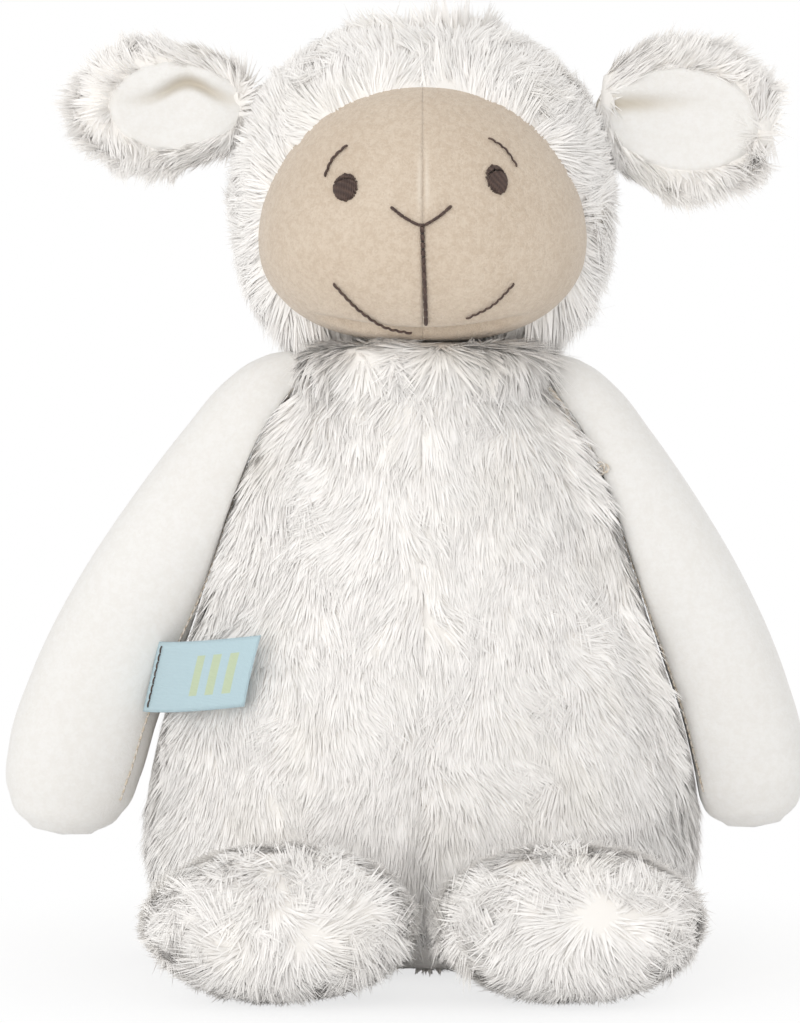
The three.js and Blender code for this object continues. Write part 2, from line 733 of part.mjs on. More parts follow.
// Label: a ribbon folded double, with a line of stitches along its sewn edge.
function makeLabel() {
  const [rootShare, rootForwardShare, rootHeightShare] = label.rootShares;
  const root = new THREE.Vector3(...bodyPlace([rootShare, 0, rootHeightShare]));
  root.y = -arm.forward - arm.halfDepth * rootForwardShare;
  const path = new THREE.QuadraticBezierCurve3(
    root,
    new THREE.Vector3(...bodyPlace(label.bendShares)),
    new THREE.Vector3(...bodyPlace(label.endShares)),
  );
  const lean = THREE.MathUtils.degToRad(label.leanDegrees);
  const up = new THREE.Vector3(Math.sin(lean), 0, Math.cos(lean));
  const ribbonRing = (along) => {
    const tangent = path.getTangentAt(along);
    const out = new THREE.Vector3().crossVectors(tangent, up).normalize();
    const corner = (u, v) =>
      path
        .getPointAt(along)
        .addScaledVector(up, (u * label.width) / 2)
        .addScaledVector(out, (v * label.thickness) / 2);
    return [corner(-1, -1), corner(-1, 1), corner(1, 1), corner(1, -1)];
  };
  const steps = Array.from({ length: threadSteps + 1 }, (_, i) => i / threadSteps);
  add("side_label", skin(steps.map(ribbonRing).map((ring) => ring.reverse())), finishes.label);

  const tangent = path.getTangentAt(0);
  const out = new THREE.Vector3().crossVectors(tangent, up).normalize();
  const inset = label.thickness + label.stitchRadius;
  const middle = path
    .getPointAt(0)
    .addScaledVector(tangent, inset)
    .addScaledVector(out, label.thickness / 2 + clearance + label.stitchRadius);
  const turn = new THREE.Quaternion().setFromUnitVectors(yAxis, up);
  const stitches = new THREE.CylinderGeometry(
    label.stitchRadius,
    label.stitchRadius,
    label.width - 2 * label.thickness,
    threadSides + 1,
  );
  const matrix = new THREE.Matrix4().compose(middle, turn, new THREE.Vector3(1, 1, 1));
  add("label_stitches", solidOf(stitches, matrix), finishes.thread);
}

makeTorso();
makeTail();
makeHead();
makeFeatures();
makeEars();
makeArms();
makeLegs();
makeLabel();

export default sheep;
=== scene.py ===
"""The looks of a seated plush sheep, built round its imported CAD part.

Shapes are worked out in millimetres in the part's own frame, +Z up and the face along -Y, and are
written to the meshes in metres. Left and right are the sheep's own, so its left is +X.
"""

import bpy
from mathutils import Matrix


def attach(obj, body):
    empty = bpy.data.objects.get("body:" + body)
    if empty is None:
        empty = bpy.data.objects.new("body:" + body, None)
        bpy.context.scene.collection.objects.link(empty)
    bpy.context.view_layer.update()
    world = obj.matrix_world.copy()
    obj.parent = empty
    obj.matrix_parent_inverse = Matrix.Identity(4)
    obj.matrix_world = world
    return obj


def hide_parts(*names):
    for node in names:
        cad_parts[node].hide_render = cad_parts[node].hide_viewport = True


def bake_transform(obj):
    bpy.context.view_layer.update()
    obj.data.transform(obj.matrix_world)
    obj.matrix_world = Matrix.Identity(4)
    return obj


bl_info = {
    "name": "Plush sheep",
    "version": (1, 0, 0),
    "blender": (4, 5, 0),
    "location": "View3D > Sidebar > Plush sheep",
    "description": "Dresses the packed plush sheep in pile, velour, thread and ribbon",
    "category": "Add Mesh",
}

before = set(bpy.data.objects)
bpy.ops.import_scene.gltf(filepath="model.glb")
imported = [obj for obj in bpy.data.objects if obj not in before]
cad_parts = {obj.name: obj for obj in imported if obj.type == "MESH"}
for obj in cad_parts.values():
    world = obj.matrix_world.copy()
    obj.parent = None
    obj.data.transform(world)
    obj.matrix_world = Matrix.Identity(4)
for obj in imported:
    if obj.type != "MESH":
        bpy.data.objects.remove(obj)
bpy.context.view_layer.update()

import math

import bpy
import numpy as np
from mathutils import Vector

MM = 0.001
TURN = 2 * math.pi
QUARTER = TURN / 4
SIDES = {"right": -1, "left": 1}
UP = np.array([0.0, 0.0, 1.0])
BACK = np.array([0.0, 1.0, 0.0])
# How thick each cloth is: the one under the pile and in the ears, the face's, the arms' and the
# neck's.
CLOTH, FACE_CLOTH, ARM_CLOTH, NECK_WALL = 1.4, 1.5, 1.8, 1.2

# Forms, each the CAD part's own: stations are a share of the height or length, a half width and
# a half depth. A row is added where a form has to close to a point.
TORSO = {
    "height": 162, "half_width": 78.5, "half_depth": 57, "forward": 0, "base": 0,
    "stations": [
        [0, 0.66, 0.7], [0.035, 0.82, 0.84], [0.08, 0.93, 0.94], [0.14, 0.985, 0.99],
        [0.24, 1, 1], [0.381, 0.955, 0.96], [0.533, 0.855, 0.86], [0.685, 0.755, 0.76],
        [0.815, 0.665, 0.695], [0.914, 0.575, 0.675], [1, 0.45, 0.655], [1.015, 0.43, 0.64],
        [1.03, 0.4, 0.61],
    ],
}
HEAD = {
    "height": 94, "half_width": 54, "half_depth": 48, "forward": -4, "base": 169,
    "stations": [
        [0, 0.4, 0.4], [0.04, 0.66, 0.62], [0.13, 0.86, 0.82], [0.28, 0.98, 0.96],
        [0.42, 1, 1], [0.56, 0.985, 1], [0.7, 0.92, 0.93], [0.82, 0.8, 0.8],
        [0.91, 0.62, 0.6], [0.97, 0.4, 0.38], [1, 0.16, 0.15], [1.004, 0.01, 0.01],
    ],
}
FACE = {
    "height": 72, "half_width": 45, "half_depth": 36, "forward": 19, "base": 173,
    "stations": [
        [-0.012, 0.02, 0.03], [-0.006, 0.15, 0.17], [0.008, 0.31, 0.34], [0.03, 0.48, 0.52],
        [0.06, 0.62, 0.65], [0.1, 0.74, 0.77], [0.17, 0.87, 0.9], [0.26, 0.965, 0.985],
        [0.35, 1, 1], [0.48, 0.99, 0.98], [0.62, 0.92, 0.92], [0.75, 0.81, 0.84],
        [0.86, 0.66, 0.7], [0.93, 0.5, 0.55], [0.968, 0.36, 0.41], [0.988, 0.23, 0.28],
        [0.999, 0.12, 0.15], [1.004, 0.02, 0.03],
    ],
}
FACE_RIM = -16
# The head's pile is combed away from this place.
HEAD_PARTING = np.array([0.0, -44.0, 210.0])
# The crease across the chin: its height in the middle, how it rises to the sides, and its sizes.
CREASE = {"height": 176.0, "bow": 0.005, "width": 0.9, "depth": 2.6}
# The seat's rings from its middle out: a share of the way, half sizes as shares of the body's, and
# a height.
SEAT_STATIONS = [
    [0, 0.02, 0.02, 1.6], [0.3, 0.3, 0.3, 1.5], [0.6, 0.56, 0.6, 1.5],
    [0.75, 0.69, 0.72, 2.2], [0.88, 0.8, 0.82, 5.5], [1, 0.88, 0.9, 10],
]
EAR = {
    "half_height": 21, "half_thickness": 9, "root": (45.177, 4, 237.996),
    "stations": [
        [0, 0.42, 0.6], [0.1, 0.66, 0.75], [0.22, 0.87, 0.95], [0.4, 0.98, 1], [0.58, 1, 1],
        [0.75, 0.9, 0.92], [0.88, 0.68, 0.75], [0.96, 0.42, 0.5], [1, 0.12, 0.2],
    ],
    "cup": {"half_length": 19, "half_height": 12.6, "depth": 3.4},
}
# A fold's last value is how much painted shade lies in its crease.
EARS = {
    "right": {
        "length": 54, "droop": 0.0, "share": 0.93, "lean": 0.1, "middle": 24,
        "fold": {
            "depth": 4.6, "height": 0.12, "slope": 0.0, "arch": 0.4, "at": -0.25, "reach": 0.65, "tint": 0.9,
        },
    },
    "left": {
        "length": 56, "droop": math.radians(7), "share": 1.1, "lean": 0.3, "middle": 28,
        "fold": {
            "depth": 3.2, "height": 0.29, "slope": 0.2, "arch": 0.0, "at": -0.95, "reach": 0.75, "tint": 1.0,
        },
    },
}
ARM = {
    "half_depth": 14, "shoulder": (43.018, -4, 151), "seam_turn": 0.6,
    "stations": [
        [-0.16, 0.02, 0.02], [-0.15, 0.28, 0.26], [-0.125, 0.5, 0.46], [-0.08, 0.7, 0.66],
        [0, 0.84, 0.82], [0.12, 0.86, 0.88], [0.3, 0.89, 0.95], [0.5, 0.95, 1], [0.7, 1, 1],
        [0.84, 1, 0.96], [0.93, 0.86, 0.83], [0.98, 0.56, 0.56], [1, 0.2, 0.2],
        [1.003, 0.01, 0.01],
    ],
}
ARM_DEPTH = ARM["shoulder"][1]
ARMS = {
    "right": {"half_width": 19, "bow": (95, -4, 90), "tip": (101, -4, 35)},
    "left": {"half_width": 17, "bow": (88, -4, 94), "tip": (93, -4, 37)},
}
SHOULDER_RING = {"half_height": 13, "tube": 0.75, "folds": 26}
SHOULDER_RINGS = {
    "right": {"half_depth": 13, "lift": -0.9},
    "left": {"half_depth": 15.5, "lift": 3.4},
}
KNOT = {"at": (49.5, -17.8, 138), "radius": 1.9, "tube": 0.32, "folds": 7}
LEG = {
    "hip": (36, -44, 25), "shank": 12, "foot": (38, -86, 21.5), "radii": (36.5, 25, 22), "sole_at": -98,
}
TAIL = {"root": (0, 56.617, 38.005), "middle": (0, 66.2, 31), "radii": (10, 7, 13)}
NECK = {"seam_height": 163.8, "tube": 1.2, "half_width": 24.5, "half_depth": 20.5, "folds": 44}
NECK_CLOTH = {
    "height": 19.7, "half_width": 35, "half_depth": 32.5, "forward": 7.5, "base": 153.5,
    "stations": [
        [0, 0.92, 0.8], [0.2, 0.95, 0.87], [0.42, 0.98, 0.93], [0.6, 1, 0.98], [0.76, 0.98, 1],
        [0.89, 0.9, 0.98], [0.96, 0.76, 0.92], [1, 0.55, 0.8],
    ],
}
# Painted shade in the hollows of the body's front: their middles across and up, half sizes and depths of
# painted shade.
HOLLOW_PAINTED_SHADES = (
    (-73, 52, 9, 17, 3.5), (-44, 36, 6, 4, 4.0), (60, 42, 13, 6, 4.0), (67, 50, 8, 12, 2.0),
    (0, 20, 4, 18, 5.0),
)
POUCH = {"middle": (0, 0, 19.55), "radii": (42, 30, 15), "flat_at": 8.5}
LABEL = {
    "width": 20, "thickness": 0.9, "lean": math.radians(13), "root": (-75, -15.2, 80),
    "bend": (-66, -32, 81), "end": (-46.5, -43, 84.2), "gap": 0.28, "layer": 0.28,
}
# The label's woven stripes, along the ribbon from its seam and across it.
STRIPES = {"middle": 28.0, "pitch": 3.0, "half_width": 1.5, "reach": 7.5, "half_length": 5.7}

# Embroidery, as shares of the face's half width and height.
EYES = {
    "right": {"at": (-0.462, 0.588), "half_width": 3.4, "half_height": 3.7, "lean": 9},
    "left": {"at": (0.438, 0.617), "half_width": 2.9, "half_height": 4.0, "lean": 11},
}
THREAD_LINES = {
    "brow_right": [[-0.584, 0.628], [-0.536, 0.694], [-0.451, 0.744]],
    "brow_left": [[0.391, 0.771], [0.482, 0.733], [0.56, 0.665]],
    "nose_stitch": [
        [-0.191, 0.514], [-0.102, 0.472], [-0.007, 0.447], [0.084, 0.475], [0.167, 0.518],
    ],
    "mouth_stitch": [[-0.007, 0.447], [0.004, 0.292], [0.013, 0.167], [0.018, 0.078]],
    "smile_right": [[-0.533, 0.231], [-0.373, 0.129], [-0.222, 0.068], [-0.067, 0.046]],
    "smile_left": [[0.542, 0.231], [0.409, 0.149], [0.258, 0.101]],
}
# How thick the thread of a line is, where it isn't as thick as the nose's.
THREAD_WEIGHTS = {
    "brow_left": 0.65, "smile_left": 0.7, "brow_right": 0.85, "smile_right": 0.85, "mouth_stitch": 1.3,
}


# Numbers and curves


def through(stations, at):
    """Values at places along a table: cubic pieces through its rows, with the slope at each row
    taken from its two neighbours."""
    table = np.asarray(stations, float)
    places, values = table[:, 0], table[:, 1:]
    slopes = np.gradient(values, places, axis=0)
    i = np.clip(np.searchsorted(places, at, side="right") - 1, 0, len(places) - 2)
    gap = (places[i + 1] - places[i])[:, None]
    t = np.clip((at - places[i])[:, None] / gap, 0, 1)
    return (
        (2 * t**3 - 3 * t**2 + 1) * values[i]
        + (t**3 - 2 * t**2 + t) * gap * slopes[i]
        + (3 * t**2 - 2 * t**3) * values[i + 1]
        + (t**3 - t**2) * gap * slopes[i + 1]
    )


def unit(vectors):
    """Vectors made one long."""
    return vectors / np.maximum(np.linalg.norm(vectors, axis=-1, keepdims=True), 1e-9)


def turns(count):
    """Even angles round a full turn."""
    return TURN * np.arange(count) / count


def outwards(at):
    """Level directions away from the sheep's upright middle line."""
    return unit(at * np.array([1, 1, 0]))


def ease(values, low, high):
    """0 below low, 1 above high, and a smooth step between them."""
    t = np.clip((values - low) / (high - low), 0, 1)
    return t * t * (3 - 2 * t)


def bell(values, middle, width):
    """A bell curve: e to the power of minus the square of the distance from its middle over its
    width, so 1 at the middle."""
    return np.exp(-(((values - middle) / width) ** 2))


def mirrored(place, side):
    """A place given on the left side, taken over to a side."""
    return np.array(place, float) * np.array([side, 1, 1])


def waves(points, size, seed, count=7):
    """Smooth noise in space, three values a point: a mean of sines along random directions whose
    wavelengths are near a size."""
    rng = np.random.default_rng(seed)
    out = np.zeros((len(points), 3))
    for axis in range(3):
        directions = unit(rng.normal(size=(count, 3)))
        directions = directions * TURN / (size * rng.uniform(0.7, 1.6, (count, 1)))
        phases = rng.uniform(0, TURN, count)
        out[:, axis] = np.sin(points @ directions.T + phases).sum(1)
    return out / math.sqrt(count / 2)


def bezier(start, bend, end, t):
    """A quadratic curve: weights (1 - t) squared, 2 t (1 - t) and t squared on its three points."""
    t = np.asarray(t, float)[..., None]
    return (1 - t) ** 2 * start + 2 * t * (1 - t) * bend + t**2 * end


def path_table(start, bend, end, steps=200):
    """A quadratic curve as places and tangents at even shares of its length."""
    corners = (np.array(corner, float) for corner in (start, bend, end))
    raw = bezier(*corners, np.linspace(0, 1, steps))
    run = np.concatenate([[0], np.cumsum(np.linalg.norm(np.diff(raw, axis=0), axis=1))])
    even = np.linspace(0, run[-1], steps)
    places = np.stack([np.interp(even, run, raw[:, k]) for k in range(3)], 1)
    tangents = unit(np.gradient(places, axis=0))
    return {"length": run[-1], "places": places, "tangents": tangents}


def on_path(path, share):
    """Place and tangent at shares of a path's length. Past an end it runs on straight."""
    steps = len(path["places"]) - 1
    at = np.clip(share, 0, 1) * steps
    i = np.minimum(at.astype(int), steps - 1)
    t = (at - i)[:, None]
    place = path["places"][i] * (1 - t) + path["places"][i + 1] * t
    tangent = unit(path["tangents"][i] * (1 - t) + path["tangents"][i + 1] * t)
    beyond = (share - np.clip(share, 0, 1)) * path["length"]
    return place + beyond[:, None] * tangent, tangent


# Surfaces: each is a function of two arrays, u round it and v along it


def lump(form, inset=0.0):
    """Ellipses stacked upwards: half width and half depth follow the form's stations with v, and
    the angle u goes round from +X over +Y."""

    def surface(u, v):
        shares = through(form["stations"], v)
        x = shares[:, 0] * (form["half_width"] - inset) * np.cos(u)
        y = shares[:, 1] * (form["half_depth"] - inset) * np.sin(u) - form["forward"]
        z = form["base"] + inset + v * (form["height"] - 2 * inset)
        return np.stack([x, y, z], 1)

    return surface


def ball(middle, radii, inset=0.0):
    """An ellipsoid with its poles on Y: v goes from the front pole to the back one, u round it."""
    rx, ry, rz = (r - inset for r in radii)

    def surface(u, v):
        girth = np.sin(math.pi * v)
        x, y, z = rx * girth * np.cos(u), -ry * np.cos(math.pi * v), -rz * girth * np.sin(u)
        return np.stack([x, y, z], 1) + np.array(middle, float)

    return surface


def limb(path, across, stations, half_width, half_depth, inset=0.0):
    """Ellipses square to a path: one half size in the path's own plane and one across it, each
    following the stations with v, the angle u going round from the first to the second."""
    inset_share = inset / path["length"]

    def surface(u, v):
        shares = through(stations, v)
        place, tangent = on_path(path, inset_share + v * (1 - 2 * inset_share))
        side = unit(np.cross(across, tangent))
        wide = (shares[:, 0] * (half_width - inset) * np.cos(u))[:, None]
        deep = (shares[:, 1] * (half_depth - inset) * np.sin(u))[:, None]
        return place + wide * side + deep * across

    return surface


def half_sizes(form, heights):
    """Half width and half depth of a lump at heights."""
    shares = through(form["stations"], np.clip((heights - form["base"]) / form["height"], 0, 1))
    return shares * np.array([form["half_width"], form["half_depth"]])


def grid_of(surface, u_span, v_span, columns, rows):
    """A surface's points on a grid, rows along v and columns along u."""
    u, v = np.meshgrid(np.linspace(*u_span, columns), np.linspace(*v_span, rows))
    return surface(u.ravel(), v.ravel()).reshape(rows, columns, 3)


def lap(columns):
    """The turn of a grid that wraps round: it stops one column short of a full turn."""
    return 0, TURN * (columns - 1) / columns


def doubled(outer, inner, v_span, columns, rows):
    """A grid that runs along the outer surface and back along the inner one."""
    grids = (grid_of(surface, lap(columns), v_span, columns, rows) for surface in (outer, inner))
    return np.concatenate([next(grids), next(grids)[::-1]])


def frame_at(surface, u, v):
    """Place, normal and the two ways that the surface runs with u and with v there."""
    step = 1e-3
    along_u = (surface(u + step, v) - surface(u - step, v)) / (2 * step)
    along_v = (surface(u, v + step) - surface(u, v - step)) / (2 * step)
    return surface(u, v), unit(np.cross(along_u, along_v)), along_u, along_v


def curvature(surface, u, v, normal, along_u, along_v, way, step=1.5):
    """How fast the normal turns along a way: its change over a short step on the surface. The
    step in u and v solves the two equations of the way's products with the two tangents."""
    uu, vv, uv = (along_u**2).sum(1), (along_v**2).sum(1), (along_u * along_v).sum(1)
    on_u, on_v = (way * along_u).sum(1), (way * along_v).sum(1)
    area = uu * vv - uv**2 + 1e-6
    move_u = np.clip(step * (vv * on_u - uv * on_v) / area, -0.8, 0.8)
    move_v = np.clip(step * (uu * on_v - uv * on_u) / area, -0.1, 0.1)
    _, turned, _, _ = frame_at(surface, u + move_u, v + move_v)
    return np.clip(((turned - normal) * way).sum(1) / step, -0.012, 0.05)


# Meshes


def patch(points, quads, tris, along=0.0, tone=0.0, flat=False):
    """One part of a mesh. along runs from 0 at a root to 1 at a tip; on smooth cloth it is the share
    of painted shade in folds and at seams, and on the face that of a lighter line beside its seam.
    tone is a shade that differs from tuft to tuft, with painted shade in the body's hollows added,
    and flat says which faces, the quads first, are shaded flat."""
    quads, tris = np.asarray(quads, int).reshape(-1, 4), np.asarray(tris, int).reshape(-1, 3)
    flat = np.broadcast_to(flat, (len(quads) + len(tris),))
    return {
        "points": points,
        "quads": quads,
        "tris": tris,
        "along": np.broadcast_to(np.asarray(along, float), (len(points),)),
        "tone": np.broadcast_to(np.asarray(tone, float), (len(points),)),
        "flat_quads": flat[: len(quads)],
        "flat_tris": flat[len(quads) :],
    }


def grid_quads(rows, columns, wrap):
    """Corner numbers of a grid's quads, facing along u cross v."""
    last = columns if wrap else columns - 1
    j, i = np.meshgrid(np.arange(rows - 1), np.arange(last), indexing="ij")
    j, i = j.ravel(), i.ravel()
    right = (i + 1) % columns
    this, above = j * columns, (j + 1) * columns
    return np.stack([this + i, this + right, above + right, above + i], 1)


def end_fans(rows, columns):
    """The triangles that close a wrapped grid's first and last row to the two points after it."""
    i = np.arange(columns)
    right = (i + 1) % columns
    last, middle = (rows - 1) * columns, np.full(columns, rows * columns)
    ends = [right, i, middle], [last + i, last + right, middle + 1]
    return np.concatenate([np.stack(corners, 1) for corners in ends])


def solid(grid):
    """A closed skin: the grid wraps round in u, and each end closes to a point at its middle."""
    points = np.concatenate([grid.reshape(-1, 3), grid[0].mean(0)[None], grid[-1].mean(0)[None]])
    size = grid.shape[:2]
    return patch(points, grid_quads(*size, True), end_fans(*size))


def closed(surface, v_span, columns, rows):
    """A closed skin from a surface that wraps round in u."""
    return solid(grid_of(surface, lap(columns), v_span, columns, rows))


def ring_closed(grid, inside_out=False):
    """A closed band: the grid wraps round in u, and its last row joins its first."""
    rows, columns = grid.shape[:2]
    quads = grid_quads(rows + 1, columns, True) % (rows * columns)
    return patch(grid.reshape(-1, 3), quads[:, ::-1] if inside_out else quads, [])


def wall(outer, inner):
    """A closed wall of cloth between two open grids of the same size: both faces and four rims."""
    rows, columns = outer.shape[:2]
    size = rows * columns
    points = np.concatenate([outer.reshape(-1, 3), inner.reshape(-1, 3)])
    quads = grid_quads(rows, columns, False)
    parts = [quads, quads[:, ::-1] + size]
    i, j = np.arange(columns - 1), np.arange(rows - 1) * columns
    top, side = (rows - 1) * columns, columns - 1
    parts.append(np.stack([i, i + size, i + 1 + size, i + 1], 1))
    parts.append(np.stack([top + i, top + i + 1, top + i + 1 + size, top + i + size], 1))
    parts.append(np.stack([j, j + columns, j + columns + size, j + size], 1))
    j = j + side
    parts.append(np.stack([j, j + size, j + columns + size, j + columns], 1))
    quads = np.concatenate(parts)
    return patch(points, quads, [], flat=np.arange(len(quads)) >= 2 * len(parts[0]))


def panel(outer, inner, u_span, v_span, columns, rows):
    """A wall of cloth between two surfaces over the same spans."""
    return wall(*(grid_of(surface, u_span, v_span, columns, rows) for surface in (outer, inner)))


def tubes(lines, radii, sides=6):
    """Round threads: rings square to each line, closed at both ends. lines is (count, steps, 3)
    and radii (count, steps)."""
    count, steps = lines.shape[:2]
    tangents = unit(np.gradient(lines, axis=1))
    guide = np.where(np.abs(tangents @ UP)[..., None] > 0.9, BACK, UP)
    first = unit(np.cross(tangents, guide))
    second = np.cross(tangents, first)
    turn = turns(sides)[:, None]
    spokes = np.cos(turn) * first[:, :, None] + np.sin(turn) * second[:, :, None]
    rings = lines[:, :, None] + radii[..., None, None] * spokes
    ends = np.stack([lines[:, 0], lines[:, -1]], 1)
    points = np.concatenate([rings.reshape(count, -1, 3), ends], 1).reshape(-1, 3)
    base = (np.arange(count) * (steps * sides + 2))[:, None, None]
    return patch(points, grid_quads(steps, sides, True) + base, end_fans(steps, sides) + base)


def rod(start, end, steps, radius, sides):
    """A straight round rod between two places."""
    line = np.linspace(np.array(start, float), np.array(end, float), steps)[None]
    return tubes(line, np.full((1, steps), radius), sides)


def gathered_ring(line, tube, folds):
    """A gathered seam: a tube round a closed line that swells and shrinks with a slanting fold."""
    ahead = unit(np.roll(line, -1, axis=0) - np.roll(line, 1, axis=0))
    first = unit(line - line.mean(0))
    first = unit(first - (first * ahead).sum(1)[:, None] * ahead)
    second = np.cross(ahead, first)
    columns, rows = 12, len(line)
    u, v = np.meshgrid(turns(columns), turns(rows))
    size = (tube * (0.86 + 0.14 * np.cos(folds * v + 2 * u)))[..., None]
    spokes = np.cos(u)[..., None] * first[:, None] + np.sin(u)[..., None] * second[:, None]
    return ring_closed(line[:, None] + size * spokes, inside_out=True)


def joined(parts):
    """Several parts as one."""
    starts = np.cumsum([0] + [len(p["points"]) for p in parts[:-1]])
    keys = ("points", "along", "tone", "flat_quads", "flat_tris")
    out = {key: np.concatenate([p[key] for p in parts]) for key in keys}
    for key in ("quads", "tris"):
        out[key] = np.concatenate([p[key] + start for p, start in zip(parts, starts)])
    return out


def cell_places(count, low, high):
    """Lower corners and size of square cells that fill a band of the unit square from low to high."""
    across = max(1, math.ceil(math.sqrt(count / (high - low))))
    number = np.arange(count)
    size = min(1 / across, (high - low) / math.ceil(count / across))
    return np.stack([(number % across) / across, low + (number // across) * size], 1), size


def bake_map(part, strands):
    """A map for baking. Each strand has a cell with its root at the bottom and its tip at the top,
    and each face of the cloth under it has a small cell of its own in a band below them."""
    quads, tris = len(part["quads"]), len(part["tris"]) - strands * len(STRAND_FACES)
    band, room = 0.12, 0.92
    corners, size = cell_places(quads + tris, 0, band)
    square = np.array([[0.1, 0.1], [0.9, 0.1], [0.9, 0.9], [0.1, 0.9]]) * size
    maps = [corners[:quads, None] + square, corners[quads:, None] + square[:3]]
    corners, size = cell_places(strands, band, 1)
    maps.append(corners[:, None, None] + STRAND_CELLS * size * room)
    return np.concatenate([places.reshape(-1, 2) for places in maps])


def make_piece(name, part, material, maps=None):
    """A mesh object at the origin from a part, with its along and tone values and its maps."""
    mesh = bpy.data.meshes.new(name)
    quads, tris = part["quads"], part["tris"]
    mesh.vertices.add(len(part["points"]))
    mesh.vertices.foreach_set("co", (part["points"] * MM).astype(np.float32).ravel())
    corners = np.concatenate([quads.ravel(), tris.ravel()]).astype(np.int32)
    mesh.loops.add(len(corners))
    mesh.loops.foreach_set("vertex_index", corners)
    starts = np.concatenate([np.arange(len(quads)) * 4, len(quads) * 4 + np.arange(len(tris)) * 3])
    mesh.polygons.add(len(starts))
    mesh.polygons.foreach_set("loop_start", starts.astype(np.int32))
    mesh.polygons.foreach_set("use_smooth", ~np.concatenate([part["flat_quads"], part["flat_tris"]]))
    for key in ("along", "tone"):
        mesh.attributes.new(key, "FLOAT", "POINT").data.foreach_set("value", part[key].astype(np.float32))
    for map_name, places in (maps or {}).items():
        mesh.uv_layers.new(name=map_name).uv.foreach_set("vector", places.astype(np.float32).ravel())
    mesh.update(calc_edges=True)
    mesh.validate()
    mesh.materials.append(material)
    piece = bpy.data.objects.new(name, mesh)
    bpy.context.scene.collection.objects.link(piece)
    return piece


def fitted(name, part, finish, body, node, maps=None):
    """A piece in its finish that rides on a body and stands for a CAD node."""
    piece = make_piece(name, part, finish_of(finish), maps)
    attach(piece, body)
    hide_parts(node)
    return piece


# Pile

# A strand's four faces, its root's first, and each one's corners in the strand's cell for baking.
STRAND_FACES = np.array([[0, 1, 2], [1, 0, 3], [2, 1, 3], [0, 2, 3]])
STRAND_CELLS = np.array([[[0.0, 0.1], [0.9, 0.1], [0.45, 0.0]]] + [
    [[(i + 1) / 3.2, 0.12], [i / 3.2, 0.12], [(i + 0.5) / 3.2, 1.0]] for i in range(3)
])


def scatter(surface, u_span, v_span, per_mm2, rng, cells=70):
    """Places on a surface, evenly by area: the grid's cells are walked in order and a place is put
    down each time that the area passed reaches one place's share, at a random spot in its cell."""
    grid = grid_of(surface, u_span, v_span, cells + 1, cells + 1)
    diagonals = np.cross(grid[1:, 1:] - grid[:-1, :-1], grid[1:, :-1] - grid[:-1, 1:])
    areas = np.linalg.norm(diagonals, axis=2).ravel() / 2
    run = np.cumsum(areas)
    count = int(run[-1] * per_mm2)
    marks = (np.arange(count) + rng.uniform(0, 1, count)) / count * run[-1]
    cell = np.minimum(np.searchsorted(run, marks), cells * cells - 1)
    u = u_span[0] + (cell % cells + rng.uniform(0, 1, count)) / cells * (u_span[1] - u_span[0])
    v = v_span[0] + (cell // cells + rng.uniform(0, 1, count)) / cells * (v_span[1] - v_span[0])
    return u, v


